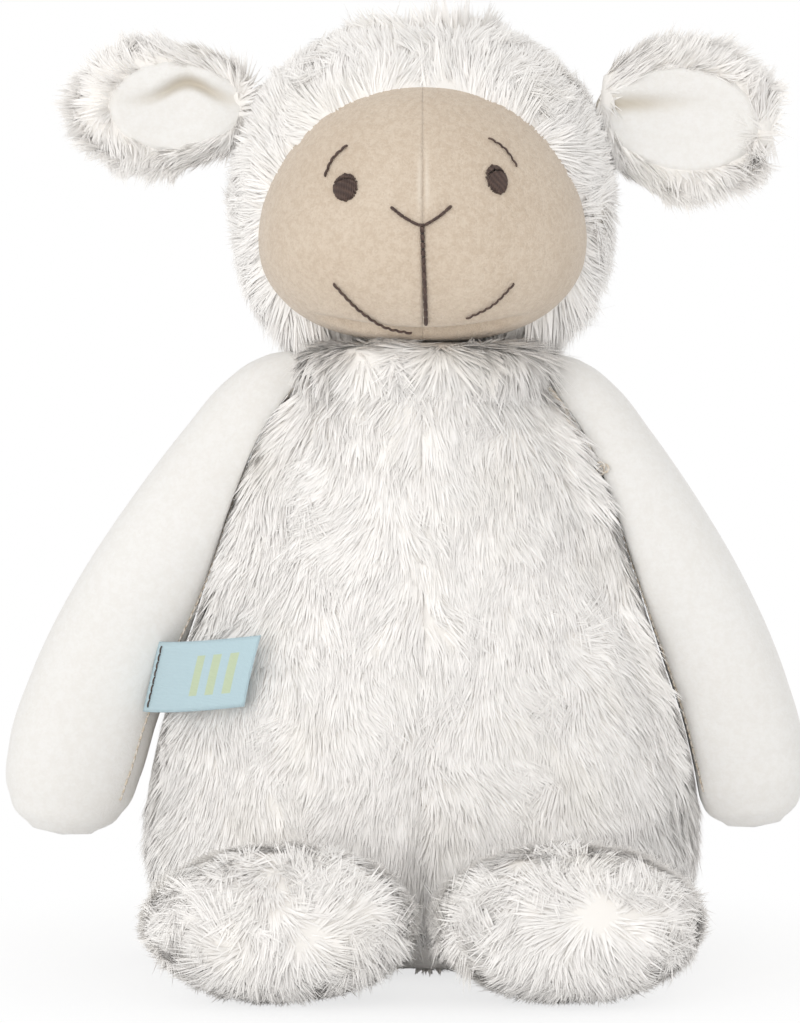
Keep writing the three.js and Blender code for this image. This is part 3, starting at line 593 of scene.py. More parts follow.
def grow(surface, u_span, v_span, comb, look, seed, keep=None, tame=None):
    """Pile: tufts are scattered over the surface, and each strand's root is a random step from its
    tuft's middle. A strand is a quadratic curve that rises from the cloth and then runs along it,
    the comb's way, sinking by half the cloth's curvature times its length squared, so that it
    follows the form. Its tip is drawn to its tuft's tip. Each strand is a long flat spike with four
    faces: three points round its root and its tip. keep picks the tufts to grow, and tame moves the
    points of strands. The look may hold functions of the place that scale the length, the rise and
    how far the pile follows the form, and one that paints shade on it."""
    rng = np.random.default_rng(seed)
    u_mid, v_mid = scatter(surface, u_span, v_span, look["per_mm2"] / look["strands"], rng)
    place, normal, along_u, along_v = frame_at(surface, u_mid, v_mid)
    if keep is not None:
        kept = keep(place, normal)
        u_mid, v_mid, place, normal, along_u, along_v = (
            values[kept] for values in (u_mid, v_mid, place, normal, along_u, along_v)
        )
    tufts = len(u_mid)
    owner = np.repeat(np.arange(tufts), look["strands"])
    count = len(owner)

    def varied(number, spread, low, high):
        """Shares near 1 that spread by chance between two limits."""
        return np.clip(1 + spread * rng.normal(size=number), low, high)

    def asked(key, plain, at):
        """What the look's function gives at places, or a plain value where the look has none."""
        return look[key](at) if key in look else plain

    def combed(at, out, random):
        """The comb's way with a swirl of smooth noise and a random turn, kept square to out."""
        wanted = comb(at, out) + look["swirl"] * waves(at, look["swirl_size"], seed + 1)
        wanted = unit(wanted - (wanted * out).sum(1)[:, None] * out) + random * rng.normal(size=at.shape)
        return unit(wanted - (wanted * out).sum(1)[:, None] * out)

    tuft_way = combed(place, normal, look["tuft_turn"])
    bow = curvature(surface, u_mid, v_mid, normal, along_u, along_v, tuft_way)
    bow = (bow * asked("follow_at", 1, place))[owner]
    patches = 0.2 * waves(place, 2.5 * look["swirl_size"], seed + 2, 4)[:, 0]
    uneven = np.clip(1 + look["rise_spread"] * rng.normal(size=tufts) + patches, 0.35, 2.2)
    tuft_rise = look["rise"] * uneven * asked("rise_at", 1, place)
    tuft_length = look["length"] * varied(tufts, 0.18, 0.55, 1.5) * asked("length_at", 1, place)

    steps = rng.normal(0, look["tuft_radius"], (count, 2))
    len_u, len_v = np.linalg.norm(along_u, axis=1)[owner], np.linalg.norm(along_v, axis=1)[owner]
    u = np.clip(u_mid[owner] + steps[:, 0] / np.maximum(len_u, 6), *sorted(u_span))
    v = np.clip(v_mid[owner] + steps[:, 1] / np.maximum(len_v, 6), *sorted(v_span))
    root, root_normal, _, _ = frame_at(surface, u, v)
    stray = rng.uniform(size=count) < look["stray"]
    length = tuft_length[owner] * varied(count, 0.13, 0.6, 1.4)
    rise = tuft_rise[owner] * varied(count, 0.15, 0.5, 1.6) + np.where(stray, look["stray_rise"], 0)
    own_way = combed(root, root_normal, look["strand_turn"])

    def end_of(at, out, way, size, high):
        """A strand's tip from its root: along the comb's way, risen, and sunk by the curvature."""
        return at + size[:, None] * way + (high - 0.5 * bow * size**2)[:, None] * out

    own_tip = end_of(root, root_normal, own_way, length, rise)
    tuft_tip = end_of(place[owner], normal[owner], tuft_way[owner], tuft_length[owner], tuft_rise[owner])
    gather = np.where(stray, 0.1, look["gather"] * rng.uniform(0.7, 1.0, count))[:, None]
    spread = look["tip_spread"] * rng.normal(size=(count, 3))
    own_push = (length - tuft_length[owner])[:, None] * tuft_way[owner]
    tip = own_tip * (1 - gather) + (tuft_tip + own_push + spread) * gather
    root = root - look["sunk"] * root_normal
    if tame is not None:
        root, tip = tame(root), tame(tip)
    tangent = unit(tip - root)
    side = unit(np.cross(tangent, root_normal) + 1e-4 * rng.normal(size=tip.shape))
    upper = np.cross(side, tangent)
    roll = look["roll"] * rng.normal(size=(count, 1))
    side, upper = side * np.cos(roll) + upper * np.sin(roll), upper * np.cos(roll) - side * np.sin(roll)
    width = look["width"] * np.where(stray, 0.45, 1.0) * rng.uniform(0.6, 1.3, count)
    profile = np.array([[0.5, 0.05], [-0.5, 0.05], [0.0, -look["thickness"]]])
    section = profile[:, :1] * side[:, None] + profile[:, 1:] * upper[:, None]
    points = np.concatenate([root[:, None] + width[:, None, None] * section, tip[:, None]], 1)
    tris = (np.arange(count) * 4)[:, None, None] + STRAND_FACES
    tone = (rng.normal(size=tufts)[owner] + 0.5 * rng.normal(size=count)) / 1.12  # spreads by 1
    # The tone takes the painted shade that the look gives at each root.
    tone = np.repeat(tone + asked("tone_at", 0, root), 4)
    along = np.tile([0.0, 0.0, 0.0, 1.0], count)
    return patch(points.reshape(-1, 3), [], tris.reshape(-1, 3), along, tone, True)


def pile_part(cloth, growths):
    """A pile's cloth parts and all its strands as one part, and its map for baking."""
    whole = joined(cloth + growths)
    strands = sum(len(part["tris"]) for part in growths) // len(STRAND_FACES)
    return whole, {"OFBake": bake_map(whole, strands)}


def padded_pile(name, body, node, cloth, growths):
    """A pile piece that stands for a node of the same body."""
    part, maps = pile_part(cloth, growths)
    fitted(name, part, "pile", body, node, maps)


def above_floor(points):
    """Strands that would go through the floor lie along it."""
    points = points.copy()
    points[..., 2] = np.maximum(points[..., 2], 0.3)
    return points


# Materials


def plug(tree, socket, source):
    """Links a socket to a source, or sets it where the source is a plain value."""
    if isinstance(source, bpy.types.NodeSocket):
        tree.links.new(source, socket)
    else:
        socket.default_value = source


def add_node(tree, kind, *sources, **settings):
    """A shader node with its settings, its first inputs fed from the sources in order."""
    node = tree.nodes.new("ShaderNode" + kind)
    for key, value in settings.items():
        setattr(node, key, value)
    for socket, source in zip(node.inputs, sources):
        plug(tree, socket, source)
    return node


def feed(tree, node, **sources):
    """Links or sets a node's inputs by name, an underscore standing for a space."""
    for key, source in sources.items():
        plug(tree, node.inputs[key.replace("_", " ")], source)
    return node


def math_node(tree, operation, *sources):
    """The result of a Math node."""
    return add_node(tree, "Math", *sources, operation=operation).outputs[0]


def product(tree, first, *others):
    """A value times each of the others in turn."""
    for other in others:
        first = math_node(tree, "MULTIPLY", first, other)
    return first


def mix_colour(tree, share, first, second):
    """Two colours mixed by a share: a Mix node's colours are its inputs 6 and 7 and its output 2."""
    node = add_node(tree, "Mix", share, data_type="RGBA")
    plug(tree, node.inputs[6], first)
    plug(tree, node.inputs[7], second)
    return node.outputs[2]


def ramp(tree, value, low, high, low_out=0.0, high_out=1.0):
    """A smooth step of a value between two places, from one number to another."""
    return add_node(
        tree, "MapRange", value, low, high, low_out, high_out, interpolation_type="SMOOTHSTEP"
    ).outputs[0]


def noise(tree, vector, scale, detail=2.0, roughness=0.5, distortion=0.0):
    """The value of a Noise Texture."""
    return feed(
        tree, add_node(tree, "TexNoise"),
        Vector=vector, Scale=scale, Detail=detail, Roughness=roughness, Distortion=distortion,
    ).outputs["Fac"]


def attribute(tree, name):
    return add_node(tree, "Attribute", attribute_name=name).outputs["Fac"]


def object_place(tree):
    return add_node(tree, "TexCoord").outputs["Object"]


def new_group(name, inputs, *outputs):
    """An empty node group, its input sockets by name and its output node. An input is a colour
    where its value is a row of numbers, and the output Colour is one."""
    tree = bpy.data.node_groups.new(name, "ShaderNodeTree")
    kinds = {True: "NodeSocketColor", False: "NodeSocketFloat"}
    for label, value in inputs.items():
        kind = kinds[isinstance(value, tuple)]
        tree.interface.new_socket(name=label, in_out="INPUT", socket_type=kind).default_value = value
    for label in outputs:
        tree.interface.new_socket(name=label, in_out="OUTPUT", socket_type=kinds[label == "Colour"])
    return tree, tree.nodes.new("NodeGroupInput").outputs, tree.nodes.new("NodeGroupOutput")


def pile_group(name):
    """Colour of a strand: its root colour, a little darker as painted shade deep in the pile, blends to
    its tip colour along it, each tuft is a little lighter or darker, and wide soft patches are
    warmer."""
    tree, given, out = new_group(name, {
        "Root Colour": (0.6, 0.55, 0.48, 1), "Tip Colour": (0.85, 0.83, 0.8, 1),
        "Warm Colour": (0.8, 0.74, 0.66, 1), "Tuft Spread": 0.04, "Patch Scale": 40.0,
    }, "Colour")
    depth = ramp(tree, attribute(tree, "along"), 0.0, 0.75)
    colour = mix_colour(tree, depth, given["Root Colour"], given["Tip Colour"])
    patches = noise(tree, object_place(tree), given["Patch Scale"])
    colour = mix_colour(tree, ramp(tree, patches, 0.48, 0.78, 0.0, 0.5), colour, given["Warm Colour"])
    shade = math_node(tree, "MULTIPLY_ADD", attribute(tree, "tone"), given["Tuft Spread"], 1.0)
    scaled = feed(tree, add_node(tree, "VectorMath", colour, operation="SCALE"), Scale=shade)
    feed(tree, out, Colour=scaled.outputs[0])
    return tree


def nap_group(name):
    """Short brushed nap: fine grain and soft brushed patches. Colour mixes two shades by them, and a
    third where the piece's along value marks it: painted shade in the smooth fabric's folds and at
    its seams, a lighter line beside the face's seam. Height is for a bump."""
    tree, given, out = new_group(name, {
        "Colour": (0.8, 0.8, 0.8, 1), "Shade": (0.6, 0.6, 0.6, 1), "Grain Scale": 900.0,
        "Patch Scale": 60.0, "Contrast": 0.5, "Fold Colour": (0.6, 0.55, 0.48, 1),
    }, "Colour", "Height")
    place = object_place(tree)
    grain = noise(tree, place, given["Grain Scale"], 3.0, 0.65)
    brushed = noise(tree, place, given["Patch Scale"], 3.0, 0.55, 0.6)
    coarse = noise(tree, place, product(tree, given["Grain Scale"], 0.35), 2.0, 0.6)

    def blend(first, first_share, second, second_share):
        """Two values times their shares, added."""
        return math_node(
            tree, "ADD", product(tree, first, first_share), product(tree, second, second_share)
        )

    both = blend(grain, 0.5, coarse, 0.5)
    share = blend(ramp(tree, both, 0.38, 0.62), 0.7, ramp(tree, brushed, 0.35, 0.68), 0.3)
    share = product(tree, share, given["Contrast"])
    colour = mix_colour(tree, share, given["Colour"], given["Shade"])
    # Painted shade in the smooth fabric's folds and at its seams, and a lighter line beside the face's seam.
    colour = mix_colour(tree, attribute(tree, "along"), colour, given["Fold Colour"])
    feed(tree, out, Colour=colour, Height=both)
    return tree


def thread_group(name):
    """Twisted thread: fine bands slanting across it, as a colour and a height. The colour's lighter
    bands are painted sheen on the raised twists.
    """
    tree, given, out = new_group(name, {
        "Colour": (0.1, 0.06, 0.04, 1), "Light Colour": (0.2, 0.14, 0.1, 1), "Band Scale": 700.0,
    }, "Colour", "Height")
    place = object_place(tree)
    bands = add_node(tree, "TexWave", wave_type="BANDS", bands_direction="DIAGONAL")
    feed(tree, bands, Vector=place, Scale=given["Band Scale"], Distortion=1.5, Detail=1.0)
    fibres = noise(tree, place, product(tree, given["Band Scale"], 2.0))
    share = product(tree, bands.outputs["Fac"], fibres)
    # Painted sheen: lighter where the twisted bands are high.
    colour = mix_colour(tree, share, given["Colour"], given["Light Colour"])
    feed(tree, out, Colour=colour, Height=bands.outputs["Fac"])
    return tree


def ribbon_group(name):
    """Woven ribbon: fine ribs along it and across it from its own map, in millimetres, and plain
    woven stripes down its middle. The low parts of the ribs are darkened, painted shade."""
    tree, given, out = new_group(name, {
        "Ground": (0.55, 0.7, 0.75, 1), "Stripe": (0.65, 0.75, 0.45, 1), "Ribs": 3.0,
    }, "Colour", "Height")
    place = add_node(tree, "UVMap", uv_map="Ribbon").outputs["UV"]
    along, across = add_node(tree, "SeparateXYZ", place).outputs[:2]

    def rib(value, share):
        """A sine of the place, between 0 and 1."""
        turns = product(tree, value, given["Ribs"], TURN * share)
        return math_node(tree, "MULTIPLY_ADD", math_node(tree, "SINE", turns), 0.5, 0.5)

    def off(value, middle):
        """How far a value is from a middle."""
        return math_node(tree, "ABSOLUTE", math_node(tree, "SUBTRACT", value, middle))

    def within(value, reach):
        """1 up to a reach and 0 past it, with a narrow soft edge."""
        return ramp(tree, value, reach - 0.1, reach + 0.1, 1.0, 0.0)

    height = product(tree, rib(along, 0.8), rib(across, 1.0))
    centre = off(along, STRIPES["middle"])
    bars = math_node(tree, "PINGPONG", centre, STRIPES["pitch"])
    inside = within(off(across, LABEL["width"] / 2), STRIPES["half_length"])
    stripe = product(
        tree, within(bars, STRIPES["half_width"]), within(centre, STRIPES["reach"]), inside
    )
    colour = mix_colour(tree, stripe, given["Ground"], given["Stripe"])
    # Painted shade: darker where the ribs are low.
    painted_groove_shade = product(tree, math_node(tree, "SUBTRACT", 1.0, height), 0.16)
    feed(tree, out, Colour=mix_colour(tree, painted_groove_shade, colour, (0.3, 0.38, 0.42, 1)), Height=height)
    return tree


EFFECTS = {
    "Pile colour": pile_group, "Brushed nap": nap_group,
    "Twisted thread": thread_group, "Woven ribbon": ribbon_group,
}

# Each finish: its material's name, its effect and the effect's values, where a word names a colour
# of the sheep, the strength and depth of its bump, and what its shader's own sockets are set to.
FINISHES = {
    "pile": (
        "Long pile", "Pile colour",
        {"Root Colour": "pile_root", "Tip Colour": "pile", "Warm Colour": "pile_warm", "Tuft Spread": 0.035},
        None, {"Roughness": 0.85, "Sheen_Weight": 0.15, "Sheen_Roughness": 0.6, "Specular_IOR_Level": 0.25},
    ),
    "smooth": (
        "Smooth short pile", "Brushed nap",
        {
            "Colour": "smooth", "Shade": "smooth_shade", "Fold Colour": "smooth_fold",
            "Grain Scale": 1100.0, "Patch Scale": 45.0, "Contrast": 0.55,
        },
        (0.35, 0.0006),
        {"Roughness": 0.9, "Sheen_Weight": 0.3, "Sheen_Roughness": 0.5, "Specular_IOR_Level": 0.2},
    ),
    "velour": (
        "Tan velour", "Brushed nap",
        {
            "Colour": "face", "Shade": "face_shade", "Fold Colour": "face_light",
            "Grain Scale": 1700.0, "Patch Scale": 32.0, "Contrast": 0.72,
        },
        (0.8, 0.0008),
        {"Roughness": 0.9, "Sheen_Weight": 0.35, "Sheen_Roughness": 0.45, "Specular_IOR_Level": 0.2},
    ),
    "thread": (
        "Dark thread", "Twisted thread",
        {"Colour": "thread", "Light Colour": "thread_light", "Band Scale": 260.0},
        (0.3, 0.0003), {"Roughness": 0.5, "Sheen_Weight": 0.1},
    ),
    "seam": (
        "Seam thread", "Twisted thread",
        {"Colour": "seam", "Light Colour": "smooth", "Band Scale": 200.0},
        (0.3, 0.0004), {"Roughness": 0.75},
    ),
    "ribbon": (
        "Woven ribbon", "Woven ribbon",
        {"Ground": "label", "Stripe": "label_stripe", "Ribs": 2.4},
        (0.4, 0.0004), {"Roughness": 0.5, "Sheen_Weight": 0.2},
    ),
    "filling": (
        "Fibre filling", "Brushed nap",
        {
            "Colour": "filling", "Shade": "smooth_shade",
            "Grain Scale": 260.0, "Patch Scale": 90.0, "Contrast": 0.6,
        },
        (0.8, 0.002), {"Roughness": 1.0},
    ),
    "pellet": (
        "Pellet pouch cloth", "Brushed nap",
        {
            "Colour": "pellet", "Shade": "smooth_shade",
            "Grain Scale": 320.0, "Patch Scale": 120.0, "Contrast": 0.7,
        },
        (0.8, 0.002), {"Roughness": 0.8},
    ),
}
MADE_FINISHES = {}


def finish_of(name):
    """The named finish, made the first time that a piece asks for it: the effect's colour goes into
    a Principled shader, and its height into a bump."""
    if name in MADE_FINISHES:
        return MADE_FINISHES[name]
    label, effect_name, values, bump, shader = FINISHES[name]
    colours = bpy.context.scene.sheep_colours
    material = MADE_FINISHES[name] = bpy.data.materials.new(label)
    material.use_nodes = True
    tree = material.node_tree
    group = bpy.data.node_groups.get(effect_name) or EFFECTS[effect_name](effect_name)
    effect = add_node(tree, "Group", node_tree=group)
    for key, value in values.items():
        colour = isinstance(value, str)
        effect.inputs[key].default_value = (*getattr(colours, value), 1.0) if colour else value
    surface = feed(tree, tree.nodes["Principled BSDF"], Base_Color=effect.outputs["Colour"], **shader)
    if bump:
        bumped = add_node(tree, "Bump")
        feed(tree, bumped, Strength=bump[0], Distance=bump[1], Height=effect.outputs["Height"])
        feed(tree, surface, Normal=bumped.outputs[0])
    return material


# Properties


def srgb(*levels):
    """A colour written 0 to 255 as linear values."""
    values = np.array(levels) / 255
    linear = np.where(values <= 0.04045, values / 12.92, ((values + 0.055) / 1.055) ** 2.4)
    return tuple(float(x) for x in linear)


def colour_property(name, description, *levels):
    return bpy.props.FloatVectorProperty(
        name=name, description=description, default=srgb(*levels), subtype="COLOR", size=3, min=0, max=1
    )


def amount_property(name, description, default, low, high, **kind):
    return bpy.props.FloatProperty(
        name=name, description=description, default=default, min=low, max=high, **kind
    )


def length_property(name, description, millimetres):
    return amount_property(
        name, description, millimetres * MM, 0.05 * MM, 60 * MM, unit="LENGTH", precision=5
    )


class SheepColours(bpy.types.PropertyGroup):
    """Colours of the sheep's fabrics and threads, and of the shade and sheen painted on them."""

    pile: colour_property("Pile", "Long pile at its tips", 254, 252, 250)
    # Painted shade deep in the pile: the roots and the cloth under them are a little darker.
    pile_root: colour_property("Pile roots", "Long pile at its roots", 249, 246, 242)
    pile_warm: colour_property("Pile patches", "Wide soft patches in the pile", 250, 247, 242)
    smooth: colour_property("Smooth fabric", "Short pile of the arms and ear linings", 241, 240, 238)
    smooth_shade: colour_property("Smooth fabric shade", "Darker grain of the smooth fabric", 232, 229, 224)
    # Painted shade of the smooth fabric in its folds and along its seams.
    smooth_fold: colour_property("Smooth fabric folds", "Smooth fabric in folds and at seams", 205, 196, 180)
    face: colour_property("Face", "Tan velour of the face", 221, 206, 188)
    face_shade: colour_property("Face shade", "Darker nap of the face", 197, 178, 157)
    face_light: colour_property("Face seam", "Brushed-up nap beside the face's seam", 240, 230, 216)
    thread: colour_property("Thread", "Dark embroidery thread", 64, 45, 38)
    # Painted sheen on the raised twists of the embroidery thread.
    thread_light: colour_property("Thread light", "Light bands of the embroidery thread", 100, 78, 67)
    label: colour_property("Ribbon", "Ground of the ribbon label", 192, 218, 227)
    label_stripe: colour_property("Ribbon stripes", "Woven stripes of the ribbon label", 202, 217, 180)
    seam: colour_property("Seam", "Gathered seams and their thread", 214, 200, 180)
    filling: colour_property("Filling", "Fibre filling", 250, 250, 247)
    pellet: colour_property("Pellet pouch", "Cloth of the pellet pouch", 230, 226, 216)


class SheepPile(bpy.types.PropertyGroup):
    """Sizes of the long pile."""

    length: length_property("Length", "How long a strand of the body's pile is", 10.5)
    width: length_property("Strand width", "How wide a strand is at its root", 1.4)
    inset: length_property("Cloth depth", "How far the cloth lies inside the pile's outside", 2.4)
    per_mm2: amount_property("Strands", "Strands on each square millimetre of the body's cloth", 2.8, 0.1, 6)
    strands: bpy.props.IntProperty(
        name="Strands in a tuft", description="How many strands share a tip", default=10, min=1, max=30
    )


class SheepStage(bpy.types.PropertyGroup):
    """The lamps, the floor and the camera."""

    world: amount_property("Surround light", "Strength of the even light from all round", 0.77, 0, 3)
    key: amount_property("Key lamp", "Power of the large soft lamp", 7.0, 0, 200, unit="POWER")
    back: amount_property("Back lamp", "Power of the soft lamp behind", 5.0, 0, 200, unit="POWER")
    floor: colour_property("Floor", "Colour of the floor", 250, 250, 250)
    lens: amount_property("Lens", "Focal length", 176.0, 20, 400, unit="CAMERA")


# Operators


def look_of(context, **changes):
    """The pile's look from its properties, in millimetres, with changes for one piece."""
    pile = context.scene.sheep_pile
    look = {
        "length": pile.length / MM, "width": pile.width / MM,
        "per_mm2": pile.per_mm2, "strands": pile.strands,
        "tuft_radius": 1.25, "tuft_turn": 0.2, "strand_turn": 0.07, "rise": 1.1, "rise_spread": 0.25,
        "sunk": 0.6, "gather": 0.65, "tip_spread": 0.35, "swirl": 0.36, "swirl_size": 20.0, "stray": 0.08,
        "stray_rise": 1.2, "thickness": 0.035, "roll": 0.16,
    }
    look.update(changes)
    return look


def body_width(heights):
    """The body's half width at heights."""
    return half_sizes(TORSO, heights)[:, 0]


def clear_of_arms(points):
    """Strands beside the arms lie flat against them, inside the body's outline from the front."""
    points = above_floor(points)
    room = 15 - 2.2 * ease(points[:, 2], 100, 140)
    beside = (np.abs(points[:, 1] - ARM_DEPTH) < room) & (points[:, 2] > 40)
    limit = body_width(points[:, 2]) - 1.0
    held = np.clip(points[:, 0], -limit, limit)
    points[:, 0] = np.where(beside, held, points[:, 0])
    return points


def side_fullness(at):
    """The body's pile stands up to twice as high at its sides, where the arms press on it."""
    return 1 + ease(np.abs(at[:, 0]) / body_width(at[:, 2]), 0.72, 0.92)


def body_comb(at, out):
    """Down, a little away from the seam down the middle of the front and of the back, and outwards
    over the arms' front edges."""
    wanted = np.tile([0.0, 0.0, -1.0], (len(at), 1))
    near = bell(at[:, 0], 0, 14) * (1 - ease(at[:, 2], 50, 100))
    wanted[:, 0] = np.tanh(at[:, 0] / 4) * (0.14 + 0.16 * near)
    low = 1 - ease(at[:, 2], 8, 34)
    wanted += low[:, None] * outwards(at) * 0.9
    edge = ease(np.abs(at[:, 0]) / body_width(at[:, 2]), 0.68, 0.9) * ease(-at[:, 1], 14, 24)
    wanted[:, 0] += np.sign(at[:, 0]) * (0.5 + 0.7 * ease(at[:, 2], 132, 150)) * edge
    return wanted


def painted_hollow_shade(at):
    """Painted shade: darker tufts in the hollows between the front of the body and the tops of the legs."""
    tone = np.zeros(len(at))
    for x, z, half_width, half_height, depth in HOLLOW_PAINTED_SHADES:
        off = ((at[:, 0] - x) / half_width) ** 2 + ((at[:, 2] - z) / half_height) ** 2
        tone -= depth * np.exp(-off)
    return tone * ease(-at[:, 1], 0, 15)


def shaped(surface, deeper=0.0):
    """The body's surface with a groove at the middle seam and its sides filled out to the arms. The
    groove goes in by a depth, larger low down, times a bell curve of the distance from the middle.
    Beside an arm the surface goes most of the way out to the arm's flat side, and the back leans in
    under the head."""
    groove, low_groove, width = 0.8, 2.2, 2.6

    def moved(u, v):
        at = surface(u, v)
        depth = low_groove + (groove - low_groove) * ease(at[:, 2], 40, 80)
        at[:, 1] -= np.sign(at[:, 1]) * (bell(at[:, 0], 0, width) * depth)
        out = np.abs(at[:, 0])
        gap = np.maximum(0, body_width(at[:, 2]) - 3.0 - deeper - out)
        beside = ease(19 - np.abs(at[:, 1] - ARM_DEPTH), 0, 5)
        beside = beside * ease(at[:, 2], 45, 70) * ease(out, 12, 24)
        at[:, 0] = np.sign(at[:, 0]) * (out + 0.88 * beside * gap)
        at[:, 1] *= np.where(at[:, 1] > 0, 1 - 0.32 * ease(at[:, 2], 128, 166), 1)
        return at

    return moved


class SHEEP_OT_body(bpy.types.Operator):
    """Make the body's long-pile panels, the seat and the tail"""

    bl_idname = "sheep.body"
    bl_label = "Body"

    def execute(self, context):
        inset = context.scene.sheep_pile.inset / MM
        outer, inner = shaped(lump(TORSO, inset)), shaped(lump(TORSO, inset + CLOTH), CLOTH)
        for number, name in enumerate(("front_right", "front_left", "back_left", "back_right")):
            span = (number - 2) * QUARTER, (number - 1) * QUARTER
            # The body's front hollows get painted shade on their tufts.
            look = look_of(context, rise_at=side_fullness, tone_at=painted_hollow_shade)
            cloth = panel(outer, inner, span, (0.045, 1.03), 40, 70)
            growth = grow(outer, span, (0.03, 1.03), body_comb, look, 100 + number, tame=clear_of_arms)
            padded_pile(f"body_{name}_pile", "torso", f"torso_{name}_panel", [cloth], [growth])
        self.seat(context)
        self.tail(context)
        return {"FINISHED"}

    def seat(self, context):
        """The seat: a flat disc whose rim turns up to the side panels."""

        def surface(u, v):
            shares = through(SEAT_STATIONS, v)
            x = shares[:, 0] * (TORSO["half_width"] - 3) * np.cos(u)
            y = shares[:, 1] * (TORSO["half_depth"] - 3) * np.sin(u)
            return np.stack([x, y, shares[:, 2]], 1)

        disc = grid_of(surface, lap(48), (0, 1), 48, 20)
        upper = disc * np.array([0.97, 0.97, 1]) + np.array([0, 0, 1.2])
        cloth = solid(np.concatenate([disc, upper[::-1]]))
        look = look_of(context, length=8.0, per_mm2=0.8, rise=0.8, stray=0.0)
        growth = grow(
            surface, (0, TURN), (0.25, 1), lambda at, out: outwards(at), look, 110, tame=above_floor
        )
        padded_pile("seat_pile", "torso", "seat_panel", [cloth], [growth])

    def tail(self, context):
        """The tail: a small ellipsoid on a short root."""
        inner = ball(TAIL["middle"], TAIL["radii"], 2.2)
        cloth = [closed(inner, (0.02, 0.98), 24, 16), rod(TAIL["root"], TAIL["middle"], 5, 4.5, 12)]
        look = look_of(context, length=7.5, per_mm2=4.0, rise=1.4, width=1.2)

        def comb(at, out):
            """Down and a little back."""
            return np.tile([0.0, 0.25, -1.0], (len(at), 1))

        growth = grow(inner, (0, TURN), (0.06, 0.97), comb, look, 120)
        padded_pile("tail_pile", "tail", "tail_panel", cloth, [growth])


def head_comb(at, out):
    """Away from the middle of the face, turning down behind the head."""
    wanted = unit(at - HEAD_PARTING)
    behind = ease(at[:, 1], 5, 40)
    low = 1 - ease(at[:, 2], 178, 208)
    return (1 + low)[:, None] * wanted - (1.6 * behind + 2.4 * low)[:, None] * UP


def outside_face(at, out, room=-2.2):
    """Whether places are outside the face's form, or behind its rim."""
    sizes = half_sizes(FACE, at[:, 2]) + room
    inside_height = (at[:, 2] > FACE["base"] - room) & (at[:, 2] < FACE["base"] + FACE["height"] + room)
    ratio = (at[:, 0] / sizes[:, 0]) ** 2 + ((at[:, 1] + FACE["forward"]) / sizes[:, 1]) ** 2
    return ~(inside_height & (ratio < 1) & (at[:, 1] < FACE_RIM + 6))


class SHEEP_OT_head(bpy.types.Operator):
    """Make the head's two long-pile panels"""

    bl_idname = "sheep.head"
    bl_label = "Head"

    def execute(self, context):
        inset = context.scene.sheep_pile.inset / MM
        outer, inner = lump(HEAD, inset), lump(HEAD, inset + CLOTH)
        look = look_of(
            context, length=9.5, per_mm2=2.6, rise=2.3, rise_spread=0.3, swirl=0.45, width=1.15, roll=0.28,
            stray=0.05, length_at=lambda at: 1 + 0.9 * (1 - ease(at[:, 2], 182, 204)),
            follow_at=lambda at: ease(at[:, 2], 180, 204),
        )
        for number, name in enumerate(("left", "right")):
            span = (2 * number - 1) * QUARTER, (2 * number + 1) * QUARTER
            cloth = panel(outer, inner, span, (0.0, 1.003), 60, 60)
            growth = grow(outer, span, (0.02, 1.004), head_comb, look, 200 + number, keep=outside_face)
            padded_pile(f"head_{name}_pile", "head", f"head_{name}_panel", [cloth], [growth])
        return {"FINISHED"}


class SHEEP_OT_neck(bpy.types.Operator):
    """Make the short neck: its pile, falling low down and standing out under the head, and the
    gathered seam under it"""

    bl_idname = "sheep.neck"
    bl_label = "Neck"

    def execute(self, context):
        outer = lump(NECK_CLOTH)

        def comb(at, out):
            """Outwards and down, less steeply near the top."""
            fall = 1.3 - 0.7 * ease(at[:, 2], 167, 171)
            return outwards(at) * 0.5 - fall[:, None] * UP

        look = look_of(
            context, length=11, per_mm2=3.4, rise=1.5, rise_spread=0.3, width=1.4, tuft_turn=0.3, swirl=0.4,
            rise_at=lambda at: 0.6 + 0.4 * ease(at[:, 2], 160, 169),
        )
        cloth = panel(outer, lump(NECK_CLOTH, NECK_WALL), (0, TURN), (0, 1), 40, 10)
        growth = grow(outer, (0, TURN), (0.02, 0.99), comb, look, 150)
        part, maps = pile_part([cloth], [growth])
        piece = make_piece("neck_pile", part, finish_of("pile"), maps)
        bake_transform(piece)
        turn = turns(264)
        line = np.stack([
            NECK["half_width"] * np.cos(turn), NECK["half_depth"] * np.sin(turn),
            np.full(len(turn), NECK["seam_height"]),
        ], 1)
        ring = gathered_ring(line, NECK["tube"], NECK["folds"])
        fitted("neck_gather", ring, "seam", "neck", "neck_seam")
        return {"FINISHED"}


def face_surface(inset=0.0):
    """The face's form with a shallow groove at its middle seam and a crease across its chin."""
    plain = lump(FACE, inset)

    def surface(u, v):
        at = plain(u, v)
        low = 1 - ease(at[:, 2], 175, 179)
        high = ease(at[:, 2], 200, 212) * (1 - ease(at[:, 2], 218, 234))
        seam = bell(at[:, 0], 0, 1.1) * (0.4 * high + 0.6 * low)
        line = CREASE["height"] + CREASE["bow"] * at[:, 0] ** 2
        crease = bell(at[:, 2], line, CREASE["width"]) * (1 - ease(np.abs(at[:, 0]), 18, 33))
        front = at[:, 1] < -FACE["forward"]
        at[:, 1] += np.where(front, 0.7 * seam + 0.5 * CREASE["depth"] * crease, 0)
        at[:, 2] += np.where(front, CREASE["depth"] * crease, 0)
        return at

    return surface


